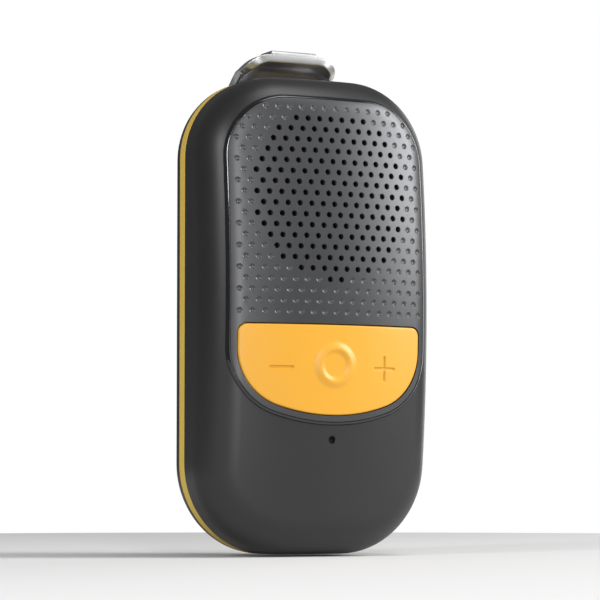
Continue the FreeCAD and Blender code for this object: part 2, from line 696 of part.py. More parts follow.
lead_top = "battery_foot + battery_height + 2.4*wire_bend"
lead_y = f"{pad_y} + pad_depth + battery_depth/3"
battery_route = (
    ("0", lead_y, "battery_foot + battery_height"), ("0", lead_y, lead_top), ("0", board_y, lead_top),
)
node("battery_leads", lead_pair("battery_lead", battery_route))
lead_ring = "(speaker_radius - lead_room + wire_radius + 2*fit_gap)"
lead_angles = [f"(lead_turn + {side}*3)" for side in (-1, 1)]
speaker_leads = [
    rod(f"speaker_lead_{i}", "wire_radius", f"{board_y} - {flange_back}", f"{lead_ring}*cos({turn})",
        flange_back, f"speaker_height + {lead_ring}*sin({turn})")
    for i, turn in enumerate(lead_angles)
]
node("speaker_leads", group("speaker_lead_pair", *speaker_leads))

# Belt clip: a sprung lever on a pin between the ears of a bracket
knuckle = "((clip_gap - bracket_depth)/2 - knuckle_gap)"
pivot_y = f"({REAR} + bracket_depth + {knuckle} + knuckle_gap)"
arm_inner = f"({REAR} + clip_gap)"


def across(name, radius, x, length):
    """A cylinder along X on the pivot's line, centred on x."""
    return rod(name, radius, length, f"({x}) - ({length})/2", pivot_y, "pivot_height", TO_RIGHT)


def ear(name, x, thick, y, deep):
    """A bracket ear or a lever lug: a flat tongue with a round end about the pivot."""
    tongue = box(name + "_tongue", thick, deep, f"2*{knuckle}", x, y, f"pivot_height - {knuckle}")
    return fuse(name, tongue, across(name + "_end", knuckle, x, thick))


bracket_plate = box("bracket_plate", "bracket_width", "bracket_depth", "bracket_top - bracket_foot",
                    "0", REAR, "bracket_foot")
ears = [
    ear(f"ear_{i}", f"{side}*ear_across", "ear_thick", f"{REAR} + bracket_depth/2",
        f"{pivot_y} - {REAR} - bracket_depth/2")
    for i, side in enumerate((-1, 1))
]
bracket = cut(
    "bracket_cut",
    fuse("bracket_whole", bracket_plate, *ears),
    across("bracket_bore", "pin_radius", "0", "clip_width"),
    *[
        rod(f"bracket_hole_{i}", "screw_radius + fit_gap", "clip_gap", x, f"{REAR} - 1", z)
        for i, (x, z) in enumerate(bracket_holes)
    ],
)
node("clip_bracket", bracket)
node("bracket_screws", group("bracket_screw_set", *[
    screw(f"bracket_screw_{i}", x, f"{REAR} + bracket_depth", z, "bracket_depth + 2*wall - fit_gap")
    for i, (x, z) in enumerate(bracket_holes)
]))
lug_across = "(ear_across + ear_thick/2 + side_gap + lug_thick/2)"
node("clip_pin", across("pin_rod", "pin_radius", "0", f"2*{lug_across} + lug_thick + 2*pin_end"))


def bent_strip(name, points, radii, thick, wide):
    """A strip of even thickness along a path in the YZ plane, bent to a radius at each inner point."""
    ways = [(after - before).normalize() for before, after in zip(points, points[1:])]
    faces = []
    for shift in (-thick / 2, thick / 2):
        moved = []
        for i, here in enumerate(points):
            before, after = ways[max(i - 1, 0)], ways[min(i, len(ways) - 1)]
            mitre = FreeCAD.Vector(0, -before.z - after.z, before.y + after.y)
            moved.append(here + mitre * (2 * shift / mitre.Length ** 2))
        turns = [before.cross(after).x for before, after in zip(ways, ways[1:])]
        bends = [radius - math.copysign(shift, turn) for radius, turn in zip(radii, turns)]
        faces.append((moved, rounded_path(moved, bends)))
    ends = [Part.LineSegment(faces[0][0][i], faces[1][0][i]).toShape() for i in (0, -1)]
    profile = Part.Wire(Part.__sortEdges__(faces[0][1] + faces[1][1] + ends))
    made = doc.addObject("Part::Feature", name)
    made.Shape = Part.Face(profile).extrude(FreeCAD.Vector(wide, 0, 0))
    made.Placement.Base = FreeCAD.Vector(-wide / 2, 0, 0)
    return made


tab_height = "body_height + clip_rise - clip_thick/2"
arm_y = f"{arm_inner} + clip_thick/2"
toe_y = f"{REAR} + toe_gap + clip_thick/2"
arm_points = [
    FreeCAD.Vector(0, evaluate(y), evaluate(z))
    for y, z in (
        ("tab_front", tab_height), ("clip_hook", tab_height), (arm_y, "clip_lean"), (arm_y, "clip_knee"),
        (toe_y, "clip_toe"), (f"{toe_y} + toe_flare", "clip_tip"),
    )
]
arm_bends = [evaluate(text) for text in ("clip_bend", "arm_bend", "knee_bend", "toe_bend")]
strip = bent_strip("clip_strip", arm_points, arm_bends, evaluate("clip_thick"), evaluate("clip_width"))
corner_limit = evaluate("clip_width") / 2 - 0.01
tab_limit, tip_limit = evaluate("tab_front") + 0.01, evaluate("clip_tip") + evaluate("clip_thick")


def at_corner(edge):
    """Whether an edge is one of the strip's four corners, across its thickness."""
    reach = edge.BoundBox
    at_side = abs(reach.Center.x) > corner_limit and reach.XLength < 0.01
    return at_side and (reach.YMax < tab_limit or reach.ZMax < tip_limit) and edge.Length < 1.2 * evaluate(
        "clip_thick")


arm = rounded("clip_arm", strip, "clip_corner", at_corner)
rib = box("clip_rib", "rib_width", "rib_length", "rib_height + clip_thick/2", "0", "tab_front",
          tab_height)
lugs = [
    ear(f"lug_{i}", f"{side}*{lug_across}", "lug_thick", pivot_y, f"{arm_inner} + clip_thick/2 - {pivot_y}")
    for i, side in enumerate((-1, 1))
]
node("belt_clip", cut(
    "clip_cut", fuse("clip_whole", arm, rib, *lugs),
    across("clip_bore", "pin_radius + pin_clearance", "0", "clip_width + 2"),
))
lean = math.atan2(evaluate(f"{arm_y} - ({toe_y})"), evaluate("clip_knee - clip_toe"))
along_y, along_z = math.sin(lean), math.cos(lean)
pad = bind(doc.addObject("Part::Box", "clip_pad_block"),
           Length="pad_wide", Width="grip_depth", Height="pad_tall")
place(
    pad, "-pad_wide/2",
    f"{toe_y} - (clip_thick/2 + grip_depth)*{along_z} + pad_start*{along_y}",
    f"clip_toe + (clip_thick/2 + grip_depth)*{along_y} + pad_start*{along_z}",
    FreeCAD.Rotation(FreeCAD.Vector(1, 0, 0), -math.degrees(lean)),
)
node("clip_pad", pad)


def torsion_spring(name):
    """A coil about the pivot pin; its ends run up along the bracket's plate and up along the arm."""
    wire, radius, leg = (evaluate(text) for text in ("spring_wire", "spring_radius", "spring_leg"))
    length = evaluate("spring_length")
    turns = round(length / evaluate("spring_pitch")) + 0.5
    coil = Part.makeHelix(length / turns, length, radius)
    quarter_turn = FreeCAD.Rotation(FreeCAD.Vector(0, 0, 1), -90)
    centre = FreeCAD.Vector(-length / 2, evaluate(pivot_y), evaluate("pivot_height"))
    coil.Placement = FreeCAD.Placement(centre, TO_RIGHT * quarter_turn)
    edge = coil.Edges[0]
    first, last = edge.valueAt(edge.FirstParameter), edge.valueAt(edge.LastParameter)
    section = Part.Wire([Part.makeCircle(wire, first, edge.tangentAt(edge.FirstParameter))])
    solids = [Part.Wire([edge]).makePipeShell([section], True, True)]
    for end in (first, last):
        foot = end - FreeCAD.Vector(0, 0, wire)
        solids.append(Part.makeCylinder(0.96 * wire, leg + wire, foot, FreeCAD.Vector(0, 0, 1)))
    made = doc.addObject("Part::Feature", name)
    made.Shape = solids[0].fuse(solids[1:])
    return made


node("clip_spring", torsion_spring("clip_spring_wire"))

# Checks and files
doc.recompute()
for made in doc.Objects:
    if {"Invalid", "Error"} & set(made.State):
        raise RuntimeError(f"{made.Name} did not recompute")
for name, made in nodes.items():
    if made.Shape.isNull() or not made.Shape.isValid():
        raise RuntimeError(f"{name} has no valid shape")
os.makedirs("parts", exist_ok=True)
for name, made in nodes.items():
    made.Shape.exportStep(f"parts/{name}.step")
    print(f"{name}: {len(made.Shape.Solids)} solid(s), {made.Shape.Volume:.1f} cubic mm")
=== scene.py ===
import logging
import math
from collections.abc import Callable, Sequence
from dataclasses import dataclass, field
from enum import Enum

import bmesh
import bpy
import numpy as np
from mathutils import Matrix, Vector, geometry


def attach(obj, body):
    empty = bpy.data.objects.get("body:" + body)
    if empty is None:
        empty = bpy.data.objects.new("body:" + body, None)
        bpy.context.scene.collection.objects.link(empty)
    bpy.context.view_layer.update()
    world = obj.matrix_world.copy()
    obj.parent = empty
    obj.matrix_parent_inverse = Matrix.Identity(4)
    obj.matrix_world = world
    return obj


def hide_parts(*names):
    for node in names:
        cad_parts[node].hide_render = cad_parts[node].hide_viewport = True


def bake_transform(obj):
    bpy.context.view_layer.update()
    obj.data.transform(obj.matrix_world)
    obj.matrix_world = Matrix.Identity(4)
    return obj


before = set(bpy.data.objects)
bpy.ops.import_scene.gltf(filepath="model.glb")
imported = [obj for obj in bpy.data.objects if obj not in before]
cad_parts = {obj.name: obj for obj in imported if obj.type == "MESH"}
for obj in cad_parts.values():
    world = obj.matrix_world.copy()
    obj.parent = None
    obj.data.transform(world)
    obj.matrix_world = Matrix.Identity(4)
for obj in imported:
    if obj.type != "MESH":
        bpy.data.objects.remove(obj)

LOG = logging.getLogger("voice_amplifier")
MM = 0.001
ARC_STEPS = 24
LINE_STEPS = 20
Array = np.ndarray
Probe = Callable[[Array], tuple[Array, Array]]


class Value:
    """A node's output that takes part in sums: each operator adds a Math node."""

    def __init__(self, tree: "Tree", socket: bpy.types.NodeSocket) -> None:
        """Keeps the tree and the socket."""
        self.tree = tree
        self.socket = socket

    def math(self, operation: str, *others: object) -> "Value":
        """Adds one Math node.

        Args:
            operation: the Math node's operation.
            others: the values after this one.

        Returns:
            The node's output.
        """
        return self.tree.math(operation, self, *others)

    def __add__(self, other: object) -> "Value":
        """Adds."""
        return self.math("ADD", other)

    __radd__ = __add__

    def __sub__(self, other: object) -> "Value":
        """Subtracts."""
        return self.math("SUBTRACT", other)

    def __rsub__(self, other: object) -> "Value":
        """Subtracts this from a number."""
        return self.tree.math("SUBTRACT", other, self)

    def __mul__(self, other: object) -> "Value":
        """Multiplies."""
        return self.math("MULTIPLY", other)

    __rmul__ = __mul__

    def __truediv__(self, other: object) -> "Value":
        """Divides."""
        return self.math("DIVIDE", other)

    def __pow__(self, other: object) -> "Value":
        """Raises to a power."""
        return self.math("POWER", other)

    def __abs__(self) -> "Value":
        """The size without its sign."""
        return self.math("ABSOLUTE")

    def __lt__(self, other: object) -> "Value":
        """One where this is less."""
        return self.math("LESS_THAN", other)

    def __gt__(self, other: object) -> "Value":
        """One where this is more."""
        return self.math("GREATER_THAN", other)


class Tree:
    """A node tree, of a material or of Geometry Nodes."""

    def __init__(self, tree: bpy.types.NodeTree) -> None:
        """Keeps the tree."""
        self.tree = tree

    def add(self, kind: str, settings: dict | None = None, inputs: dict | None = None) -> bpy.types.Node:
        """Adds a node.

        Args:
            kind: the node's type.
            settings: its properties, which are set first; stops fills a colour ramp.
            inputs: values or links by socket name or number.

        Returns:
            The node.
        """
        made = self.tree.nodes.new(kind)
        for key, value in (settings or {}).items():
            if key == "stops":
                ramp = made.color_ramp
                while len(ramp.elements) < len(value):
                    ramp.elements.new(0.5)
                for element, (place, colour) in zip(ramp.elements, value):
                    element.position, element.color = place, colour
            else:
                setattr(made, key, value)
        for key, value in (inputs or {}).items():
            self.join(value, made.inputs[key])
        return made

    def join(self, value: object, socket: bpy.types.NodeSocket) -> None:
        """Links a value or an output to a socket, or sets the socket to a number or colour."""
        if isinstance(value, Value):
            value = value.socket
        if isinstance(value, bpy.types.NodeSocket):
            self.tree.links.new(value, socket)
        else:
            socket.default_value = value

    def out(self, node: bpy.types.Node, key: str | int = 0) -> Value:
        """A node's output as a value for sums."""
        return Value(self, node.outputs[key])

    def math(self, operation: str, *terms: object) -> Value:
        """Adds a Math node.

        Args:
            operation: its operation.
            terms: its values in order.

        Returns:
            Its output.
        """
        return self.out(self.add("ShaderNodeMath", {"operation": operation}, dict(enumerate(terms))))


class Pattern(Enum):
    """What a surface's fine detail is like."""

    MOULDED = "moulded"
    GLOSS = "gloss"
    GRAINED = "grained"
    BRUSHED = "brushed"
    WOVEN = "woven"
    FOAM = "foam"
    BOARD = "board"


@dataclass(frozen=True)
class Finish:
    """One material: its colour, gloss and fine detail."""

    name: str
    colour: tuple[float, float, float]
    roughness: float = 0.5
    metallic: float = 0.0
    pattern: Pattern = Pattern.MOULDED
    scale: float = 2600.0
    relief: float = 0.05
    tone: float = 0.06
    coat: float = 0.0
    specular: float = 0.5

    def build(self) -> bpy.types.Material:
        """Makes the material once.

        Returns:
            The material.
        """
        if self.name in bpy.data.materials:
            return bpy.data.materials[self.name]
        made = bpy.data.materials.new(self.name)
        made.use_nodes = True
        made.diffuse_color = (*self.colour, 1.0)
        tree = Tree(made.node_tree)
        shader = made.node_tree.nodes["Principled BSDF"]
        shader.inputs["Metallic"].default_value = self.metallic
        shader.inputs["Coat Weight"].default_value = self.coat
        shader.inputs["Coat Roughness"].default_value = 0.06
        shader.inputs["Specular IOR Level"].default_value = self.specular
        where = tree.add("ShaderNodeTexCoord").outputs["Object"]
        height = self._height(tree, where)
        cloud = tree.out(tree.add("ShaderNodeTexNoise", inputs={
            "Vector": where, "Scale": 90.0, "Detail": 3.0, "Roughness": 0.6}))
        shade = (cloud - 0.5) * self.tone + (height - 0.5) * (self.tone * 0.8)
        light = tree.add("ShaderNodeMix", {"data_type": "RGBA"}, {
            0: (shade + 0.5).math("MAXIMUM", 0.0),
            6: tuple(c * 0.45 for c in self.colour) + (1.0,),
            7: tuple(min(c * 1.55, 1.0) for c in self.colour) + (1.0,)})
        tree.join(light.outputs[2], shader.inputs["Base Color"])
        rough = (cloud - 0.5) * 0.08 + (height - 0.5) * 0.06 + self.roughness
        tree.join(rough.math("MAXIMUM", 0.03), shader.inputs["Roughness"])
        bump = tree.add("ShaderNodeBump", inputs={
            "Strength": 1.0, "Distance": self.relief * MM, "Height": height})
        tree.join(bump.outputs[0], shader.inputs["Normal"])
        return made

    def _height(self, tree: Tree, where: bpy.types.NodeSocket) -> Value:
        """The fine relief of the pattern.

        Args:
            tree: the material's tree.
            where: the position it follows.

        Returns:
            A height from about 0 to 1.
        """
        if self.pattern is Pattern.BRUSHED:
            stretch = tree.add("ShaderNodeMapping", inputs={"Vector": where, "Scale": (0.03, 1.0, 1.0)})
            where = stretch.outputs[0]
        if self.pattern is Pattern.WOVEN:
            warp, weft = (
                tree.out(tree.add("ShaderNodeTexWave", {"bands_direction": axis}, {
                    "Vector": where, "Scale": self.scale, "Distortion": 0.6, "Detail": 1.0}), 1)
                for axis in ("X", "Z"))
            return warp.math("MAXIMUM", weft)
        if self.pattern in (Pattern.FOAM, Pattern.GRAINED):
            cell = tree.out(tree.add("ShaderNodeTexVoronoi", {"feature": "SMOOTH_F1"}, {
                "Vector": where, "Scale": self.scale}))
            grain = tree.out(tree.add("ShaderNodeTexNoise", inputs={
                "Vector": where, "Scale": self.scale * 1.6, "Detail": 2.0}))
            return cell * 0.5 + grain * 0.5
        if self.pattern is Pattern.BOARD:
            track = tree.out(tree.add("ShaderNodeTexBrick", inputs={
                "Vector": where, "Scale": self.scale, "Mortar Size": 0.03}), 1)
            return track * 0.5 + 0.25
        detail = 1.0 if self.pattern is Pattern.GLOSS else 4.0
        return tree.out(tree.add("ShaderNodeTexNoise", inputs={
            "Vector": where, "Scale": self.scale, "Detail": detail, "Roughness": 0.55}))


SHELL = Finish("shell_satin", (0.014, 0.0142, 0.0147), 0.4, scale=5200.0, relief=0.006, tone=0.08)
BAND = Finish("band_amber", (1.0, 0.5, 0.08), 0.5, scale=4200.0, relief=0.006, tone=0.05)
SEAL = Finish("seal_silicone", (0.02, 0.02, 0.02), 0.6)
SCREW = Finish("screw_plated", (0.42, 0.42, 0.43), 0.3, 1.0, Pattern.BRUSHED, 6000.0, 0.004)
BEZEL = Finish("bezel_gloss", (0.008, 0.008, 0.009), 0.1, pattern=Pattern.GLOSS, scale=900.0,
               relief=0.001, tone=0.02, coat=0.6)
PANEL = Finish("panel_satin", (0.07, 0.071, 0.074), 0.38, 0.6, Pattern.GRAINED, 5200.0, 0.006, 0.12)
KEY = Finish("key_silicone", (0.80, 0.33, 0.024), 0.4, scale=4600.0, relief=0.004, tone=0.04)
CLIP = Finish("clip_steel", (0.5, 0.5, 0.505), 0.4, 1.0, Pattern.BRUSHED, 5200.0, 0.003, 0.08)
BRACKET = Finish("bracket_steel", (0.40, 0.40, 0.41), 0.32, 1.0, Pattern.BRUSHED, 5600.0, 0.003)
SPRING = Finish("spring_steel", (0.5, 0.5, 0.5), 0.28, 1.0, Pattern.BRUSHED, 7000.0, 0.002)
RUBBER = Finish("grip_rubber", (0.015, 0.015, 0.016), 0.62, scale=3000.0, relief=0.01)
CLOTH = Finish("acoustic_cloth", (0.006, 0.006, 0.006), 0.9, pattern=Pattern.WOVEN, scale=900.0, relief=0.05,
               specular=0.1)
FOAM = Finish("closed_foam", (0.03, 0.03, 0.03), 0.85, pattern=Pattern.FOAM, scale=2400.0, relief=0.06)
BASKET = Finish("basket_paint", (0.02, 0.02, 0.02), 0.45)
MAGNET = Finish("magnet_sintered", (0.12, 0.12, 0.125), 0.55, 0.4, Pattern.GRAINED, 3200.0, 0.02)
YOKE = Finish("yoke_zinc", (0.55, 0.55, 0.56), 0.35, 1.0, Pattern.GRAINED, 2400.0, 0.006)
COIL = Finish("coil_enamel", (0.7, 0.32, 0.10), 0.3, 0.9, Pattern.BRUSHED, 9000.0, 0.01)
CONE = Finish("cone_film", (0.015, 0.015, 0.016), 0.5)
CAPSULE = Finish("capsule_can", (0.6, 0.6, 0.6), 0.3, 1.0, Pattern.BRUSHED, 5200.0, 0.003)
CHASSIS = Finish("chassis_plastic", (0.05, 0.05, 0.055), 0.55)
BATTERY = Finish("battery_sleeve", (0.08, 0.18, 0.42), 0.25, pattern=Pattern.GLOSS, scale=700.0, relief=0.02,
                 coat=0.4)
BOARD = Finish("board_mask", (0.012, 0.10, 0.04), 0.35, pattern=Pattern.BOARD, scale=220.0, relief=0.03)
SWITCH = Finish("switch_steel", (0.5, 0.5, 0.5), 0.3, 1.0, Pattern.BRUSHED, 6000.0, 0.003)
CHIP = Finish("chip_compound", (0.015, 0.015, 0.015), 0.6, pattern=Pattern.GRAINED, scale=5200.0, relief=0.01)
PORT = Finish("port_nickel", (0.6, 0.6, 0.6), 0.22, 1.0, Pattern.BRUSHED, 5200.0, 0.002)
LEAD = Finish("lead_red", (0.5, 0.03, 0.03), 0.35, pattern=Pattern.GLOSS, scale=900.0, relief=0.01)


@dataclass(frozen=True)
class Outline:
    """A closed outline seen from the front: straight sides, a flat top and round corners.

    Its bottom is flat, or a shallow arc of radius sweep where that is above zero. Sizes are in millimetres.
    """

    half: float
    top: float
    bottom: float
    top_corner: float
    low_corner: float
    sweep: float = 0.0

    def inset(self, by: float) -> "Outline":
        """The outline moved in all round by a distance."""
        sweep = self.sweep - by if self.sweep else 0.0
        return Outline(self.half - by, self.top - by, self.bottom + by, self.top_corner - by,
                       self.low_corner - by, sweep)

    def sample(self) -> tuple[Array, Array]:
        """Points round the outline, in the same number for every outline.

        Returns:
            The points and their outward directions, anticlockwise seen from the front.
        """
        side, low, upper, lower = self.half, self.bottom, self.top_corner, self.low_corner
        lean = math.asin((side - lower) / (self.sweep - lower)) if self.sweep else 0.0
        deep = low + lower
        if self.sweep:
            deep = low + self.sweep - (self.sweep - lower) * math.cos(lean)
        quarter = math.pi / 2
        high = self.top - upper
        arcs = (
            (side - upper, high, upper, 0.0, quarter),
            (upper - side, high, upper, quarter, 2 * quarter),
            (lower - side, deep, lower, 2 * quarter, 3 * quarter - lean),
            (side - lower, deep, lower, 3 * quarter + lean, 4 * quarter),
        )
        points, ways = [], []
        for turn, (x, z, radius, start, end) in enumerate(arcs):
            angles = np.linspace(start, end, ARC_STEPS, endpoint=False)
            way = np.stack([np.cos(angles), np.sin(angles)], 1)
            points.append(np.array([x, z]) + radius * way)
            ways.append(way)
            last = np.array([x + radius * math.cos(end), z + radius * math.sin(end)])
            after = arcs[(turn + 1) % 4]
            first = np.array([after[0] + after[2] * math.cos(after[3]),
                              after[1] + after[2] * math.sin(after[3])])
            if turn == 2 and self.sweep:
                angles = np.linspace(3 * quarter - lean, 3 * quarter + lean, LINE_STEPS, endpoint=False)
                way = np.stack([np.cos(angles), np.sin(angles)], 1)
                points.append(np.array([0.0, low + self.sweep]) + self.sweep * way)
                ways.append(way)
            else:
                share = np.linspace(0.0, 1.0, LINE_STEPS, endpoint=False)[:, None]
                points.append(last + (first - last) * share)
                ways.append(np.tile([math.cos(end), math.sin(end)], (LINE_STEPS, 1)))
        return np.concatenate(points), np.concatenate(ways)

    def beyond(self, x: Array, z: Array) -> tuple[Array, Array, Array]:
        """How far points lie outside an outline with a flat bottom.

        Args:
            x: the points' x.
            z: the points' z.

        Returns:
            The distance, below zero inside, and its direction's x and z.
        """
        upper = z > (self.top + self.bottom) / 2
        corner = np.where(upper, self.top_corner, self.low_corner)
        over_x = np.abs(x) - (self.half - corner)
        over_z = np.where(upper, z - (self.top - corner), (self.bottom + corner) - z)
        round_x, round_z = np.maximum(over_x, 0.0), np.maximum(over_z, 0.0)
        length = np.hypot(round_x, round_z)
        flat = length < 1e-9
        safe = np.where(flat, 1.0, length)
        wide = over_x > over_z
        way_x = np.where(flat, np.where(wide, 1.0, 0.0), round_x / safe)
        way_z = np.where(flat, np.where(wide, 0.0, 1.0), round_z / safe)
        distance = length + np.minimum(np.maximum(over_x, over_z), 0.0) - corner
        return distance, way_x * np.sign(x), way_z * np.where(upper, 1.0, -1.0)


@dataclass(frozen=True)
class Crown:
    """The housing's domed front with its rolled rim: its depth and its normal over the outline."""

    body: Outline
    front: float = -16.2
    across: float = 72.0
    along: float = 275.0
    height: float = 49.2
    rim: float = 8.5

    def _core(self, x: Array, z: Array) -> tuple[Array, Array, Array]:
        """The surface that the rim ball's centre keeps to.

        Args:
            x: the points' x.
            z: the points' z.

        Returns:
            Its depth and its two slopes.
        """
        wide = np.sqrt((self.across - self.rim) ** 2 - x ** 2)
        reach = self.along - self.across + wide
        far = np.sqrt(reach ** 2 - (z - self.height) ** 2)
        return self.front + self.along - far, reach * x / (wide * far), (z - self.height) / far

    def at(self, x: Array, z: Array, inset: float = 0.0) -> tuple[Array, Array]:
        """The surface moved in by a distance.

        Args:
            x: the points' x.
            z: the points' z.
            inset: how far under the surface, or above it where it is below zero.

        Returns:
            The depth at each point and the outward normals.
        """
        x, z = np.asarray(x, float), np.asarray(z, float)
        inner = self.body.inset(self.rim)
        radius = self.rim - inset
        mid_x, mid_z = x, z
        for _ in range(14):
            distance, way_x, way_z = inner.beyond(mid_x, mid_z)
            out = np.maximum(distance, 0.0)
            mid_x, mid_z = mid_x - out * way_x, mid_z - out * way_z
            _, slope_x, slope_z = self._core(mid_x, mid_z)
            rise = np.sqrt(np.maximum(radius ** 2 - (x - mid_x) ** 2 - (z - mid_z) ** 2, 0.0))
            last = mid_x, mid_z
            mid_x, mid_z = x - rise * slope_x, z - rise * slope_z
        mid_x, mid_z = last
        depth = self._core(mid_x, mid_z)[0]
        normal = np.stack([x - mid_x, -rise, z - mid_z], -1)
        return depth - rise, normal / np.linalg.norm(normal, axis=-1, keepdims=True)

    def probe(self, inset: float = 0.0) -> Probe:
        """A test of how far points are from the surface, and its normals there."""
        def test(points: Array) -> tuple[Array, Array]:
            """The distances and the normals."""
            depth, normal = self.at(points[:, 0], points[:, 2], inset)
            return np.abs((points[:, 1] - depth) * normal[:, 1]), normal
        return test


def wall_probe(outline: Outline) -> Probe:
    """A test of how far points are from an outline's straight walls, and the walls' normals."""
    def test(points: Array) -> tuple[Array, Array]:
        """The distances and the normals."""
        distance, way_x, way_z = outline.beyond(points[:, 0], points[:, 2])
        return np.abs(distance), np.stack([way_x, np.zeros_like(way_x), way_z], -1)
    return test


BODY = Outline(24.5, 92.8, 0.0, 16.2, 17.6)
PANEL_EDGE = Outline(21.3, 88.5, 24.8, 12.6, 13.4, 38.6)
KEY_TOP, KEY_CORNER, BEZEL_WIDTH, KEY_BORDER = 44.2, 1.9, 0.6, 1.15
CROWN = Crown(BODY)
PANEL_PROUD = 0.4


def key_edge(inset: float) -> Outline:
    """The keys' common outline, moved in all round by a distance."""
    low = PANEL_EDGE.inset(BEZEL_WIDTH + KEY_BORDER + inset)
    return Outline(low.half, KEY_TOP - inset, low.bottom, KEY_CORNER - inset, low.low_corner, low.sweep)


class Skin:
    """Collects points and faces, and makes them one piece of the object."""

    def __init__(self) -> None:
        """Starts with nothing."""
        self.points: list[Array] = []
        self.faces: list[tuple[int, ...]] = []
        self.count = 0

    def close(self, rows: Sequence[Array]) -> None:
        """Closes a loft's two ends."""
        self.faces += [tuple(rows[0]), tuple(rows[-1])]

    def add(self, points: Array) -> Array:
        """Adds points.

        Args:
            points: the points, in millimetres.

        Returns:
            Their numbers.
        """
        numbers = np.arange(self.count, self.count + len(points))
        self.points.append(np.asarray(points, float))
        self.count += len(points)
        return numbers

    def bridge(self, first: Array, second: Array) -> None:
        """Joins two closed rows of points with faces.

        Args:
            first: the numbers of one row's points.
            second: the numbers of the other's, as many.
        """
        for here in range(len(first)):
            after = (here + 1) % len(first)
            self.faces.append((first[here], first[after], second[after], second[here]))

    def loft(self, rings: Sequence[Array], closed: bool = False) -> list[Array]:
        """Adds rings of points and joins each with the next.

        Args:
            rings: the rings, with the same number of points each.
            closed: whether the last joins the first.

        Returns:
            The numbers of each ring's points.
        """
        rows = [self.add(ring) for ring in rings]
        for first, second in zip(rows, rows[1:] + ([rows[0]] if closed else [])):
            self.bridge(first, second)
        return rows

    def mesh(self, name: str) -> bpy.types.Mesh:
        """Makes a mesh in metres: doubles merged and faces outwards.

        Args:
            name: its name.

        Returns:
            The mesh.
        """
        made = bpy.data.meshes.new(name)
        points = np.concatenate(self.points) * MM
        made.from_pydata(points.tolist(), [], [tuple(int(i) for i in face) for face in self.faces])
        return heal(made)


def coordinates(mesh: bpy.types.Mesh) -> Array:
    """A mesh's points.

    Args:
        mesh: the mesh, in metres.

    Returns:
        The points in millimetres.
    """
    points = np.zeros(len(mesh.vertices) * 3)
    mesh.vertices.foreach_get("co", points)
    return points.reshape(-1, 3) / MM


def heal(mesh: bpy.types.Mesh) -> bpy.types.Mesh:
    """Merges a mesh's doubles and turns its faces outwards.

    Args:
        mesh: the mesh.

    Returns:
        The same mesh.
    """
    work = bmesh.new()
    work.from_mesh(mesh)
    bmesh.ops.remove_doubles(work, verts=work.verts, dist=2e-6)
    bmesh.ops.dissolve_degenerate(work, edges=work.edges, dist=1e-7)
    bmesh.ops.recalc_face_normals(work, faces=work.faces)
    work.to_mesh(mesh)
    work.free()
    mesh.update()
    return mesh


def polish(mesh: bpy.types.Mesh, angle: float, probes: Sequence[Probe] = (), reach: float = 0.012) -> None:
    """Shades a mesh smooth up to an angle, with exact normals where it lies on a known surface.

    Args:
        mesh: the mesh.
        angle: edges sharper than this, in degrees, stay sharp.
        probes: the known surfaces, first wins.
        reach: how near a face's points lie to the surface, in millimetres.
    """
    mesh.shade_smooth()
    mesh.set_sharp_from_angle(angle=math.radians(angle))
    if not probes:
        return
    loops = len(mesh.loops)
    normals = np.zeros(loops * 3)
    mesh.corner_normals.foreach_get("vector", normals)
    normals = normals.reshape(-1, 3)
    corner = np.zeros(loops, int)
    mesh.loops.foreach_get("vertex_index", corner)
    points = coordinates(mesh)
    sizes = np.zeros(len(mesh.polygons), int)
    mesh.polygons.foreach_get("loop_total", sizes)
    face = np.repeat(np.arange(len(sizes)), sizes)
    flat = np.zeros(len(sizes) * 3)
    mesh.polygons.foreach_get("normal", flat)
    flat = flat.reshape(-1, 3)
    free = np.ones(len(sizes), bool)
    for probe in probes:
        distance, exact = probe(points)
        away = distance[corner] > reach
        turned = np.einsum("ij,ij->i", exact[corner], flat[face]) < 0.85
        off = np.zeros(len(sizes), bool)
        np.logical_or.at(off, face, away | turned)
        chosen = (~off & free)[face]
        normals[chosen] = exact[corner][chosen]
        free &= off
    mesh.normals_split_custom_set(normals.tolist())


def piece(mesh: bpy.types.Mesh, finish: Finish, body: str = "housing",
          replaces: Sequence[str] = ()) -> bpy.types.Object:
    """Makes a finished mesh a piece of the object.

    Args:
        mesh: the mesh, in metres in the row frame.
        finish: its material.
        body: the CAD body that it rides on, or nothing, which leaves it on no body.
        replaces: the CAD nodes that it stands for.

    Returns:
        The piece.
    """
    made = bpy.data.objects.new(mesh.name, mesh)
    bpy.context.scene.collection.objects.link(made)
    mesh.materials.clear()
    mesh.materials.append(finish.build())
    if body:
        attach(made, body)
    if replaces:
        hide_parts(*replaces)
    LOG.info("%s: %d faces on %s", made.name, len(mesh.polygons), body or "two bodies")
    return made


def carve(mesh: bpy.types.Mesh, *tools: bpy.types.Mesh) -> bpy.types.Mesh:
    """Cuts solids out of a mesh.

    Args:
        mesh: the mesh to cut.
        tools: the solids that are taken away, which are used up.

    Returns:
        The cut mesh.
    """
    body = bpy.data.objects.new(mesh.name + "_whole", mesh)
    bpy.context.scene.collection.objects.link(body)
    cutters = []
    for number, tool in enumerate(tools):
        cutter = bpy.data.objects.new(f"{mesh.name}_tool_{number}", tool)
        bpy.context.scene.collection.objects.link(cutter)
        change = body.modifiers.new(f"cut_{number}", "BOOLEAN")
        change.operation, change.solver, change.object = "DIFFERENCE", "EXACT", cutter
        cutters.append(cutter)
    bpy.context.view_layer.update()
    whole = body.evaluated_get(bpy.context.evaluated_depsgraph_get())
    made = bpy.data.meshes.new_from_object(whole)
    name = mesh.name
    for used in (body, *cutters):
        bpy.data.objects.remove(used)
    mesh.name = name + "_uncut"
    made.name = name
    return made


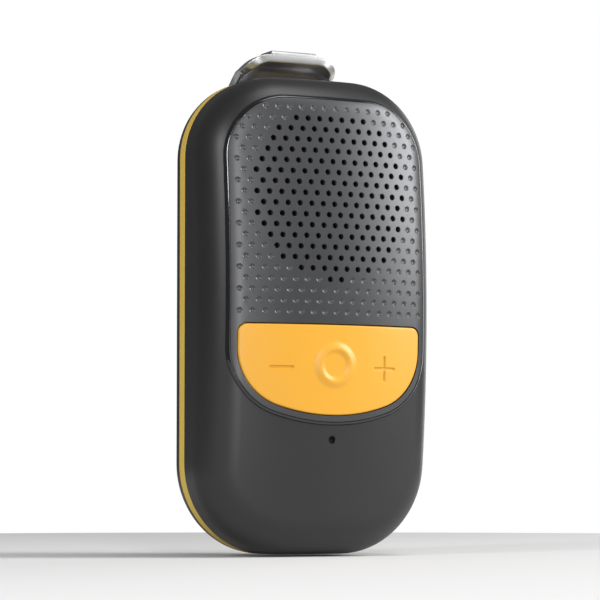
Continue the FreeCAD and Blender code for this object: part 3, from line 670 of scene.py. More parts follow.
def tessellate(loops: Sequence[Array], links: Sequence[tuple[Array, Array]], inner: Array,
               keep: Callable[[Array], Array]) -> tuple[Array, Array]:
    """Fills a flat region with triangles that keep to its edges.

    Args:
        loops: closed edge loops, as points in the outline's plane.
        links: more edges, as points and pairs of point numbers.
        inner: loose points inside.
        keep: says which of the triangles, by their middles, stay.

    Returns:
        The points and the triangles.
    """
    points, edges, count = [], [], 0
    for loop in loops:
        numbers = np.arange(count, count + len(loop))
        edges += list(zip(numbers.tolist(), np.roll(numbers, -1).tolist()))
        points.append(loop)
        count += len(loop)
    for spots, pairs in links:
        edges += [(int(a) + count, int(b) + count) for a, b in pairs]
        points.append(spots)
        count += len(spots)
    if len(inner):
        points.append(inner)
    every = np.concatenate(points)
    found = geometry.delaunay_2d_cdt([Vector(p) for p in every.tolist()], edges, [], 0, 1e-5)
    corners = np.array([v[:] for v in found[0]])
    faces = np.array([tuple(f) for f in found[2]])
    return corners, faces[keep(corners[faces].mean(1))]


def inside(loop: Array, points: Array) -> Array:
    """Which points lie inside a closed loop.

    Args:
        loop: the loop's points.
        points: the points to test.

    Returns:
        True for each point inside.
    """
    x, z = points[:, 0][:, None], points[:, 1][:, None]
    here, after = loop, np.roll(loop, -1, 0)
    spans = (here[:, 1] > z) != (after[:, 1] > z)
    rise = np.where(after[:, 1] == here[:, 1], 1e-12, after[:, 1] - here[:, 1])
    cross = here[:, 0] + (z - here[:, 1]) * (after[:, 0] - here[:, 0]) / rise
    return (spans & (x < cross)).sum(1) % 2 == 1


def lay(points: Array, depth: Array | float) -> Array:
    """Points of the outline's plane at a depth, as points in space."""
    depth = np.broadcast_to(np.asarray(depth, float), (len(points),))
    return np.stack([points[:, 0], depth, points[:, 1]], 1)


def on_crown(points: Array, inset: float) -> Array:
    """Points of the outline's plane, laid on the housing's surface moved in."""
    return lay(points, CROWN.at(points[:, 0], points[:, 1], inset)[0])


def unit_circle(steps: int) -> Array:
    """Points round a circle of radius one."""
    angles = np.linspace(0.0, 2 * math.pi, steps, endpoint=False)
    return np.stack([np.cos(angles), np.sin(angles)], 1)


def body_ring(inset: float, depth: float) -> Array:
    """The body's outline moved in, as points at a depth."""
    return lay(BODY.inset(inset).sample()[0], depth)


def rod_mesh(name: str, points: Sequence[tuple[float, float]], steps: int,
             middle: tuple[float, float, float]) -> bpy.types.Mesh:
    """A solid turned about the depth axis, from a profile of depths and radii.

    Args:
        name: its name.
        points: pairs of a depth and a radius.
        steps: how many points are round it.
        middle: the axis's start.

    Returns:
        The mesh.
    """
    skin = Skin()
    circle = unit_circle(steps)
    rows = skin.loft([lay(circle * radius, far) + np.array(middle) for far, radius in points])
    skin.faces += [tuple(rows[0][::-1]), tuple(rows[-1])]
    return skin.mesh(name)


@dataclass
class GeometryTool:
    """A Geometry Nodes tree with named inputs, and what bakes it to a plain mesh."""

    name: str
    inputs: dict[str, object] = field(default_factory=dict)

    def __post_init__(self) -> None:
        """Makes the tree with its sockets."""
        self.group = bpy.data.node_groups.new(self.name, "GeometryNodeTree")
        self.group.interface.new_socket("Geometry", in_out="INPUT", socket_type="NodeSocketGeometry")
        self.group.interface.new_socket("Geometry", in_out="OUTPUT", socket_type="NodeSocketGeometry")
        self.keys = {}
        for name, value in self.inputs.items():
            kind = "NodeSocketFloat"
            if isinstance(value, int):
                kind = "NodeSocketInt"
            elif isinstance(value, bpy.types.Object):
                kind = "NodeSocketObject"
            elif isinstance(value, bpy.types.Material):
                kind = "NodeSocketMaterial"
            socket = self.group.interface.new_socket(name, in_out="INPUT", socket_type=kind)
            self.keys[name] = socket.identifier
        self.tree = Tree(self.group)
        self.start = self.tree.add("NodeGroupInput")

    def given(self, name: str) -> Value:
        """One of the named inputs."""
        return self.tree.out(self.start, name)

    def finish(self, *parts: bpy.types.NodeSocket) -> None:
        """Joins the parts, makes them real, and gives them the input called Material.

        Args:
            parts: the geometry outputs to join.
        """
        joined = self.tree.add("GeometryNodeJoinGeometry")
        for part in parts:
            self.tree.join(part, joined.inputs[0])
        real = self.tree.add("GeometryNodeRealizeInstances", inputs={0: joined.outputs[0]})
        dressed = self.tree.add("GeometryNodeSetMaterial", inputs={
            "Geometry": real.outputs[0], "Material": self.given("Material")})
        self.tree.add("NodeGroupOutput", inputs={0: dressed.outputs[0]})

    def bake(self, name: str, points: Sequence[tuple[float, float, float]] = ()) -> bpy.types.Mesh:
        """Runs the tree and keeps its result.

        Args:
            name: the mesh's name.
            points: the points that it starts from, in metres.

        Returns:
            A plain mesh.
        """
        seed = bpy.data.meshes.new(name + "_seed")
        seed.from_pydata(list(points), [], [])
        holder = bpy.data.objects.new(name + "_holder", seed)
        bpy.context.scene.collection.objects.link(holder)
        change = holder.modifiers.new("tool", "NODES")
        change.node_group = self.group
        for key, value in self.inputs.items():
            change[self.keys[key]] = value
        bpy.context.view_layer.update()
        made = bpy.data.meshes.new_from_object(holder.evaluated_get(bpy.context.evaluated_depsgraph_get()))
        made.name = name
        bpy.data.objects.remove(holder)
        for value in self.inputs.values():
            if isinstance(value, bpy.types.Object):
                bpy.data.objects.remove(value)
        return made


def loose(mesh: bpy.types.Mesh) -> bpy.types.Object:
    """Puts a mesh in an object that isn't a piece.

    Args:
        mesh: the mesh.

    Returns:
        The object.
    """
    made = bpy.data.objects.new(mesh.name, mesh)
    bpy.context.scene.collection.objects.link(made)
    return made


@dataclass
class Housing:
    """The domed front shell, the coloured band, the rear shell and what holds them together."""

    wall: float = 1.8
    panel_depth: float = 1.1
    ledge: float = 1.05
    band_depth: float = 2.4
    rear_depth: float = 4.6
    rear_rim: float = 4.2
    edge: float = 0.12
    rim_fall: float = 2.6
    mic_height: float = 22.0
    mic_radius: float = 0.725
    mic_depth: float = 1.6
    mic_lip: float = 0.12
    port_height: float = 60.0
    port_y: float = -2.3
    port_tall: float = 3.3
    port_wide: float = 9.04
    port_lip: float = 0.25
    screw_across: float = 15.5
    screw_heights: tuple[float, float] = (84.0, 11.0)
    head_radius: float = 1.85
    head_depth: float = 1.2

    @property
    def back(self) -> float:
        """The depth of the rear shell's flat back."""
        return self.band_depth + self.rear_depth

    def spots(self) -> list[tuple[float, float]]:
        """The housing screws' places."""
        return [(side * self.screw_across, z) for z in self.screw_heights for side in (-1, 1)]

    def build(self) -> None:
        """Makes the housing's pieces."""
        self.front_shell()
        self.band()
        self.rear_shell()
        self.screws()

    def front_shell(self) -> None:
        """The front shell: rolled rim, pocket for the panel, microphone hole and charging opening."""
        outer, outward = BODY.sample()
        rings = [body_ring(self.wall, 0.0), body_ring(self.edge, 0.0), lay(outer, -self.edge)]
        spine = BODY.inset(CROWN.rim).sample()[0]
        base = CROWN.at(outer[:, 0], outer[:, 1])[0]
        for share in (0.25, 0.5, 0.75):
            rings.append(lay(outer, -self.edge + (base + self.edge) * share))
        last = math.acos(1.0 - self.rim_fall / CROWN.rim)
        for angle in np.linspace(0.0, last, 10):
            rings.append(on_crown(spine + outward * CROWN.rim * math.cos(angle), 0.0))
        rim = spine + outward * CROWN.rim * math.cos(last)
        pocket = PANEL_EDGE.sample()[0]
        for share in np.linspace(0.0, 1.0, 17)[1:]:
            rings.append(on_crown(rim + (pocket - rim) * share, 0.0))
        inner = PANEL_EDGE.inset(self.ledge).sample()[0]
        rings += [on_crown(pocket, self.panel_depth), on_crown(inner, self.panel_depth),
                  on_crown(inner, self.wall)]
        hollow = BODY.inset(self.wall).sample()[0]
        for share in np.linspace(0.0, 1.0, 12)[1:]:
            rings.append(on_crown(inner + (hollow - inner) * (1.0 - (1.0 - share) ** 2), self.wall))
        skin = Skin()
        skin.loft(rings, closed=True)
        depth = float(CROWN.at(np.array([0.0]), np.array([self.mic_height]))[0][0])
        lip = self.mic_lip
        mic = rod_mesh("mic_tool", ((-1.0, self.mic_radius + lip + 1.0), (0.02, self.mic_radius + lip * 0.9),
                                    (lip, self.mic_radius), (self.mic_depth, self.mic_radius)), 48,
                       (0.0, depth, self.mic_height))
        made = carve(skin.mesh("front_shell_skin"), mic, self.port_tool())
        polish(made, 34.0, (CROWN.probe(), wall_probe(BODY)))
        piece(made, SHELL, replaces=("front_shell",))

    def port_tool(self) -> bpy.types.Mesh:
        """What cuts the charging opening: a bar with round ends through the right side.

        Returns:
            The cutter's mesh.
        """
        half, low = self.port_tall / 2, self.port_wide / 2 - self.port_tall / 2
        angles = np.linspace(0.0, math.pi, 15)
        ends = [(half * math.cos(a), low + half * math.sin(a)) for a in angles]
        ends += [(-y, -z) for y, z in ends]
        flat = np.array(ends)
        lip = self.port_lip
        rings = []
        side = BODY.half
        for x, more in ((side - 2.0, 0.0), (side - lip, 0.0), (side + 0.02, lip), (side + 1.5, lip)):
            grown = flat * (1.0 + more / half)
            grown[:, 1] = flat[:, 1] + np.sign(flat[:, 1]) * more
            rings.append(np.stack([np.full(len(flat), x), self.port_y + grown[:, 0],
                                   self.port_height + grown[:, 1]], 1))
        skin = Skin()
        rows = skin.loft(rings)
        skin.close(rows)
        return skin.mesh("port_tool")

    def band(self) -> None:
        """The coloured band between the shells, with softened edges."""
        rings = []
        for inset, y in ((self.wall, 0.0), (0.1, 0.0), (0.03, 0.03), (0.0, 0.1), (0.0, self.band_depth / 2),
                         (0.0, self.band_depth - 0.1), (0.03, self.band_depth - 0.03), (0.1, self.band_depth),
                         (self.wall, self.band_depth)):
            rings.append(body_ring(inset, y))
        skin = Skin()
        skin.loft(rings, closed=True)
        made = skin.mesh("colour_band_ring")
        polish(made, 40.0, (wall_probe(BODY),))
        piece(made, BAND, replaces=("colour_band",))

    def rear_shell(self) -> None:
        """The rear shell: a shallow cup with a rolled edge and pockets for the screw heads."""
        rings = [body_ring(self.wall, self.band_depth), body_ring(self.edge, self.band_depth),
                 body_ring(0.0, self.band_depth + self.edge)]
        for angle in np.linspace(0.0, math.pi / 2, 12):
            inset = self.rear_rim * (1.0 - math.cos(angle))
            rings.append(body_ring(inset, self.back - self.rear_rim * (1.0 - math.sin(angle))))
        skin = Skin()
        rows = skin.loft(rings)
        skin.faces.append(tuple(rows[-1]))
        inner = [body_ring(self.wall, self.band_depth)]
        small = self.rear_rim - self.wall
        for angle in np.linspace(0.0, math.pi / 2, 6):
            inset = self.wall + small * (1.0 - math.cos(angle))
            inner.append(body_ring(inset, self.back - self.wall - small * (1.0 - math.sin(angle))))
        rows = skin.loft(inner)
        skin.faces.append(tuple(rows[-1]))
        pockets = [
            rod_mesh("pocket", ((-self.head_depth, self.head_radius + 0.05), (-0.18, self.head_radius + 0.05),
                                (0.02, self.head_radius + 0.25), (1.0, self.head_radius + 0.25)), 40,
                     (x, self.back, z))
            for x, z in self.spots()
        ]
        made = carve(skin.mesh("rear_shell_cup"), *pockets)
        polish(made, 34.0, (wall_probe(BODY),))
        piece(made, SHELL, replaces=("rear_shell",))

    def screws(self) -> None:
        """The four housing screws and the two that hold the clip's bracket."""
        for name, length, deep, spots, node in (
            ("housing_screw_field", 11.0, self.back - 0.25, self.spots(), "housing_screws"),
            ("bracket_screw_field", 4.4, self.back + 1.0 + self.head_depth, [(-4.5, 75.0), (4.5, 75.0)],
             "bracket_screws"),
        ):
            tool = GeometryTool(name, {"Screw": loose(self.screw(name, length)), "Material": SCREW.build()})
            model = tool.tree.add("GeometryNodeObjectInfo", inputs={"Object": tool.given("Screw")})
            placed = tool.tree.add("GeometryNodeInstanceOnPoints", inputs={
                "Points": tool.tree.out(tool.start, "Geometry"), "Instance": model.outputs["Geometry"]})
            tool.finish(placed.outputs[0])
            made = tool.bake(name, [(x * MM, deep * MM, z * MM) for x, z in spots])
            polish(made, 30.0)
            piece(made, SCREW, replaces=(node,))

    def screw(self, name: str, length: float) -> bpy.types.Mesh:
        """One screw with its head's top at the origin: a crowned head with a six-lobed recess.

        Args:
            name: the name of its set.
            length: the length under the head.

        Returns:
            The mesh.
        """
        steps, deep = 48, 0.75
        angles = np.linspace(0.0, 2 * math.pi, steps, endpoint=False)
        circle = unit_circle(steps)
        lobes = (0.86 + 0.14 * np.cos(6 * angles))[:, None]
        head, under = self.head_radius, -self.head_depth
        profile = [(under - length, 0.35, 0), (under - length + 0.5, 0.92, 0),
                   (under, 1.0, 0), (under, head - 0.08, 0), (under + 0.1, head, 0),
                   (-0.35, head, 0), (-0.12, head - 0.18, 0), (-0.02, head - 0.5, 0), (0.0, 1.15, 0),
                   (0.0, 1.02, 1), (-0.08, 0.94, 1), (-deep, 0.9, 1)]
        skin = Skin()
        rows = skin.loft([lay(circle * radius * (lobes if lobed else 1.0), y)
                          for y, radius, lobed in profile])
        skin.close(rows)
        return skin.mesh(name + "_model")


@dataclass
class Front:
    """What fills the front: the gloss bezel, the perforated panel and the skin of keys."""

    pitch: float = 2.4
    hole: float = 0.56
    dimple: float = 0.5
    dimple_depth: float = 0.55
    rows: int = 20
    columns: int = 18
    grille_height: float = 66.24
    speaker_height: float = 69.36
    sound: float = 16.9
    widest: float = 19.8
    corner_reach: float = 11.6
    trim: float = 0.05
    sides: int = 16
    thick: float = 1.5
    edge: float = 0.07
    key_gap: float = 0.2
    key_edge_round: float = 0.3
    split: float = 7.3
    key_row: float = 36.3
    mark_row: float = 35.8
    reach: float = 11.0
    ring: tuple[float, float] = (2.1, 4.7)
    ring_height: float = 0.4
    mark: tuple[float, float] = (4.85, 0.27)
    mark_depth: float = 0.3
    bend_reach: float = 1.3
    bend_at: tuple[float, float] = (-0.0166, 0.036)

    def build(self) -> None:
        """Makes the front's pieces."""
        self.bezel()
        self.panel()
        self.keys()

    def bezel(self) -> None:
        """The gloss ring round the panel, which slopes inwards to it."""
        profile = ((0.05, 1.1), (0.05, 0.03), (0.07, -0.06), (0.12, -0.15), (0.2, -0.235), (0.3, -0.3),
                   (0.4, -0.345), (0.49, -0.37), (0.55, -0.375), (0.58, -0.36), (0.6, -0.3), (0.6, 1.1))
        skin = Skin()
        skin.loft([on_crown(PANEL_EDGE.inset(side).sample()[0], inset) for side, inset in profile],
                  closed=True)
        made = skin.mesh("bezel_ring_gloss")
        polish(made, 50.0)
        piece(made, BEZEL, replaces=("bezel_ring",))

    def liner(self, name: str, profile: Sequence[tuple[float, float]], cap: bool) -> bpy.types.Object:
        """The wall of one hole, as an object for the tree.

        Args:
            name: its name.
            profile: pairs of a depth and a radius.
            cap: whether the last ring is closed.

        Returns:
            The object.
        """
        circle = unit_circle(self.sides)
        skin = Skin()
        rows = skin.loft([lay(circle * radius, depth) for depth, radius in profile])
        if cap:
            skin.faces.append(tuple(rows[-1]))
        mesh = bpy.data.meshes.new(name)
        faces = [tuple(int(i) for i in face) for face in skin.faces]
        mesh.from_pydata((np.concatenate(skin.points) * MM).tolist(), [], faces)
        return loose(mesh)

    def field(self) -> tuple[Array, Array, bpy.types.Mesh]:
        """The staggered holes, made by a tree of nodes.

        Returns:
            The through holes' points, the dimples' points, and the baked walls.
        """
        through = ((0.0, self.hole + 0.05), (0.05, self.hole), (self.thick - 0.03, self.hole),
                   (self.thick, self.hole + 0.03))
        hollow = ((0.0, self.dimple + 0.1), (self.dimple_depth * 0.12, self.dimple),
                  (self.dimple_depth * 0.36, self.dimple * 0.66),
                  (self.dimple_depth * 0.46, self.dimple * 0.34))
        tool = GeometryTool("grille_field", {
            "Rows": self.rows, "Columns": self.columns, "Pitch": self.pitch, "Middle": self.grille_height,
            "Sound": self.sound, "Through": self.liner("hole_wall", through, False),
            "Dimple": self.liner("dimple_wall", hollow, True), "Material": PANEL.build()})
        tree = tool.tree
        count = tool.given("Rows") * tool.given("Columns")
        index = tree.out(tree.add("GeometryNodeInputIndex"))
        row = (index / tool.given("Columns")).math("FLOOR")
        column = index - row * tool.given("Columns")
        shift = (1.0 - row.math("MODULO", 2.0)) * 0.5
        x = (column - (self.columns // 2) + shift) * tool.given("Pitch")
        z = ((self.rows - 1) / 2 - row) * tool.given("Pitch") * (math.sqrt(3) / 2) + tool.given("Middle")
        place = tree.add("ShaderNodeCombineXYZ", inputs={"X": x * MM, "Z": z * MM})
        cloud = tree.add("GeometryNodePoints", inputs={"Count": count, "Position": place.outputs[0]})
        spot = tree.add("ShaderNodeSeparateXYZ", inputs={
            0: tree.add("GeometryNodeInputPosition").outputs[0]})
        at_x, at_z = tree.out(spot, "X") / MM, tree.out(spot, "Z") / MM
        side, high = PANEL_EDGE.half - PANEL_EDGE.top_corner, PANEL_EDGE.top - PANEL_EDGE.top_corner
        far_x, far_z = (abs(at_x) - side).math("MAXIMUM", 0.0), (at_z - high).math("MAXIMUM", 0.0)
        corner = (far_x * far_x + far_z * far_z) ** 0.5
        outside = (abs(at_x) > self.widest + 0.01).math("MAXIMUM", corner > self.corner_reach)
        kept = tree.add("GeometryNodeDeleteGeometry", {"domain": "POINT"}, {
            "Geometry": cloud.outputs[0], "Selection": outside})
        rise = at_z - self.speaker_height
        near = (at_x * at_x + rise * rise) ** 0.5 < tool.given("Sound")
        heard = near * (at_z < PANEL_EDGE.top - self.pitch - 0.5)
        parts = []
        for name, chosen in (("Through", heard), ("Dimple", 1.0 - heard)):
            model = tree.add("GeometryNodeObjectInfo", inputs={"Object": tool.given(name)})
            placed = tree.add("GeometryNodeInstanceOnPoints", inputs={
                "Points": kept.outputs[0], "Selection": chosen, "Instance": model.outputs["Geometry"]})
            parts.append(placed.outputs[0])
        tool.finish(*parts)
        made = tool.bake("grille_walls")
        holes = coordinates(made).reshape(-1, self.sides * len(through), 3)
        deep = holes[:, -1, 1] > self.thick - 0.01
        LOG.info("grille: %d through holes, %d dimples", deep.sum(), (~deep).sum())
        return holes[deep], holes[~deep], made

    def panel(self) -> None:
        """The perforated panel, with the window for the keys."""
        through, blind, walls = self.field()
        side = BEZEL_WIDTH + self.trim
        window, window_back = key_edge(-self.edge), key_edge(0.0)
        tops = [hole[: self.sides][:, [0, 2]] for hole in (*through, *blind)]
        backs = [hole[-self.sides:][:, [0, 2]] for hole in through]
        skin = Skin()
        faces = np.array([p.vertices[:] for p in walls.polygons if len(p.vertices) == 4])
        caps = [tuple(p.vertices) for p in walls.polygons if len(p.vertices) != 4]
        points = coordinates(walls)
        base = on_crown(points[:, [0, 2]], -PANEL_PROUD)
        base[:, 1] += points[:, 1]
        skin.add(base)
        skin.faces += [tuple(face) for face in faces.tolist()] + caps
        for loops, outer, opening, deep in (
            (tops, PANEL_EDGE.inset(side + self.edge), window, 0.0),
            (backs, PANEL_EDGE.inset(side), window_back, self.thick),
        ):
            rim, hollow = outer.sample()[0], opening.sample()[0]
            flat, found = tessellate([rim, hollow, *loops], [], np.zeros((0, 2)),
                                     lambda p, r=rim, h=hollow, l=loops: self.solid(p, r, h, l))
            laid = on_crown(flat, -PANEL_PROUD)
            laid[:, 1] += deep
            numbers = skin.add(laid)
            skin.faces += [tuple(face) for face in numbers[found].tolist()]
        for outline, outline_top in ((PANEL_EDGE.inset(side), PANEL_EDGE.inset(side + self.edge)),
                                     (window_back, window)):
            rings = []
            for shape, deep in ((outline_top, 0.0), (outline, self.edge), (outline, self.thick)):
                ring = on_crown(shape.sample()[0], -PANEL_PROUD)
                ring[:, 1] += deep
                rings.append(ring)
            skin.loft(rings)
        made = skin.mesh("grille_panel_face")
        polish(made, 52.0, (CROWN.probe(-PANEL_PROUD),))
        piece(made, PANEL, replaces=("grille_panel",))

    def solid(self, points: Array, rim: Array, window: Array, loops: Sequence[Array]) -> Array:
        """Which points lie on the panel's sheet, off its window and holes.

        Args:
            points: the points to test.
            rim: the sheet's outer edge.
            window: the edge of the keys' window.
            loops: the edges of the holes.

        Returns:
            True for each point on the sheet.
        """
        good = inside(rim, points) & ~inside(window, points)
        middles = np.array([loop.mean(0) for loop in loops])
        size = np.array([np.linalg.norm(loop[0] - loop.mean(0)) for loop in loops])
        for start in range(0, len(points), 4000):
            part = points[start:start + 4000]
            away = np.linalg.norm(part[:, None] - middles[None], axis=2)
            good[start:start + 4000] &= (away > size * 0.985).all(1)
        return good

    def relief(self, x: Array, z: Array) -> Array:
        """How far the keys stand above their common surface: a raised ring, and marks cut in.

        Args:
            x: the points' x.
            z: the points' z.

        Returns:
            The heights, below zero in the marks.
        """
        from_ring = np.hypot(x, z - self.key_row)
        inner, outer = self.ring
        up = smooth((from_ring - inner) / 1.1) * smooth((outer - from_ring) / 1.5) * self.ring_height
        half = self.mark[0] / 2
        for middle, bars in ((-self.reach, ((1, 0),)), (self.reach, ((1, 0), (0, 1)))):
            away = np.full_like(x, 9.0)
            for way in bars:
                side, rise = x - middle, z - self.mark_row
                along = np.clip(side * way[0] + rise * way[1], -half + 0.25, half - 0.25)
                away = np.minimum(away, np.hypot(side - along * way[0], rise - along * way[1]))
            up = up - self.mark_depth * smooth((self.mark[1] + 0.08 - away) / 0.22)
        return up

    def key_depth(self, x: Array, z: Array) -> Array:
        """The depth of the keys' face.

        Args:
            x: the points' x.
            z: the points' z.

        Returns:
            The depths.
        """
        shape = key_edge(self.key_gap)
        loop = shape.sample()[0]
        near = np.minimum(edge_distance(loop, np.stack([x, z], 1)), self.key_edge_round)
        fall = self.key_edge_round - np.sqrt(self.key_edge_round ** 2 - (self.key_edge_round - near) ** 2)
        return CROWN.at(x, z, -PANEL_PROUD)[0] + fall - self.relief(x, z)

    def key_probe(self) -> Probe:
        """A test of how far points are from the keys' face, and its normals there."""
        def test(points: Array) -> tuple[Array, Array]:
            """The distances and the normals.

            Args:
                points: the points to test.

            Returns:
                Their distances from the face, and its normals there.
            """
            x, z, step = points[:, 0], points[:, 2], 0.03
            depth = self.key_depth(x, z)
            slope_x = (self.key_depth(x + step, z) - self.key_depth(x - step, z)) / (2 * step)
            slope_z = (self.key_depth(x, z + step) - self.key_depth(x, z - step)) / (2 * step)
            normal = np.stack([slope_x, -np.ones_like(x), slope_z], 1)
            return np.abs(points[:, 1] - depth), normal / np.linalg.norm(normal, axis=1, keepdims=True)
        return test

    def key_spots(self) -> Array:
        """Loose points of the keys' face: close together over the ring and the marks.

        Returns:
            The points.
        """
        spots = []
        for radius in np.arange(1.95, 5.0, 0.14):
            turns = np.linspace(0, 2 * math.pi, 72, endpoint=False) + radius
            spots.append(np.stack([radius * np.cos(turns), self.key_row + radius * np.sin(turns)], 1))
        for middle in (-self.reach, self.reach):
            fine = np.arange(-3.0, 3.001, 0.09)
            x, z = (part.ravel() for part in np.meshgrid(fine + middle, fine + self.mark_row))
            slack = np.abs(z - self.mark_row) < 0.6
            if middle > 0:
                slack |= np.abs(x - middle) < 0.6
            spots.append(np.stack([x, z], 1)[slack])
        coarse_x, coarse_z = np.meshgrid(np.arange(-19.0, 19.1, 0.8), np.arange(26.0, 45.0, 0.8))
        coarse = np.stack([coarse_x.ravel(), coarse_z.ravel()], 1)
        slack = np.hypot(coarse[:, 0], coarse[:, 1] - self.key_row) > 5.2
        for middle in (-self.reach, self.reach):
            slack &= np.maximum(np.abs(coarse[:, 0] - middle), np.abs(coarse[:, 1] - self.mark_row)) > 3.3
        spots.append(coarse[slack])
        every = np.concatenate(spots)
        shape = key_edge(self.key_gap).sample()[0]
        return every[inside(shape, every) & (edge_distance(shape, every) > self.key_edge_round + 0.1)]

    def keys(self) -> None:
        """The keys' skin in four patches, divided at the lines between the keys."""
        loops = [key_edge(self.key_gap + inset).sample()[0] for inset in (0.0, 0.02, 0.07, 0.15, 0.3)]
        rise = np.arange(20.0, 50.0, 0.12)
        pairs = np.stack([np.arange(len(rise) - 1), np.arange(1, len(rise))], 1)
        lines = [(np.stack([np.full_like(rise, x), rise], 1), pairs) for x in (-self.split, 0.0, self.split)]
        flat, found = tessellate(loops, lines, self.key_spots(), lambda p: inside(loops[0], p))
        used = np.unique(found)
        number = np.full(len(flat), -1)
        number[used] = np.arange(len(used))
        flat, found = flat[used], number[found]
        front = lay(flat, self.key_depth(flat[:, 0], flat[:, 1]))
        back = lay(flat, CROWN.at(flat[:, 0], flat[:, 1], -PANEL_PROUD)[0] + self.thick)
        middles = flat[found].mean(1)[:, 0]
        far, bend = 99.0, self.bend_reach
        for name, low, high, body, reach, node in (
            ("key_minus", -far, -self.split, "minus", -bend, "minus_key"),
            ("key_centre_left", -self.split, 0.0, "centre", bend, "centre_key"),
            ("key_centre_right", 0.0, self.split, "centre", -bend, ""),
            ("key_plus", self.split, far, "plus", bend, "plus_key"),
        ):
            patch = found[(middles > low) & (middles < high)]
            pairs = np.concatenate([patch[:, [0, 1]], patch[:, [1, 2]], patch[:, [2, 0]]])
            _, places, times = np.unique(np.sort(pairs, 1), axis=0, return_index=True, return_counts=True)
            skin = Skin()
            top, under = skin.add(front), skin.add(back)
            skin.faces += [tuple(face) for face in top[patch].tolist()]
            skin.faces += [tuple(face[::-1]) for face in under[patch].tolist()]
            for first, second in pairs[places[times == 1]]:
                skin.faces.append((top[first], top[second], under[second], under[first]))
            made = skin.mesh(name)
            drop_loose(made)
            polish(made, 40.0, (self.key_probe(),), reach=0.004)
            shown = piece(made, KEY, body="", replaces=(node,) if node else ())
            line = -self.split if low < -self.split or high == 0.0 else self.split
            (line + reach) * MM
            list(self.bend_at)
            line * MM
            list(self.bend_at)
            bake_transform(shown)


def smooth(share: Array) -> Array:
    """A smooth step from 0 to 1."""
    share = np.clip(share, 0.0, 1.0)
    return share * share * (3.0 - 2.0 * share)


def edge_distance(loop: Array, points: Array) -> Array:
    """How far points are from a closed loop of edges.

    Args:
        loop: the loop's points.
        points: the points to measure from.

    Returns:
        The distances.
    """
    after = np.roll(loop, -1, 0) - loop
    length = (after ** 2).sum(1)
    best = np.full(len(points), 99.0)
    for start in range(0, len(points), 4000):
        part = points[start:start + 4000, None] - loop[None]
        share = np.clip((part * after).sum(2) / length, 0.0, 1.0)
        best[start:start + 4000] = np.linalg.norm(part - share[..., None] * after, axis=2).min(1)
    return best


def drop_loose(mesh: bpy.types.Mesh) -> None:
    """Removes a mesh's points that no face uses.

    Args:
        mesh: the mesh, which is changed.
    """
    work = bmesh.new()
    work.from_mesh(mesh)
    bmesh.ops.delete(work, geom=[v for v in work.verts if not v.link_faces], context="VERTS")
    work.to_mesh(mesh)
    work.free()


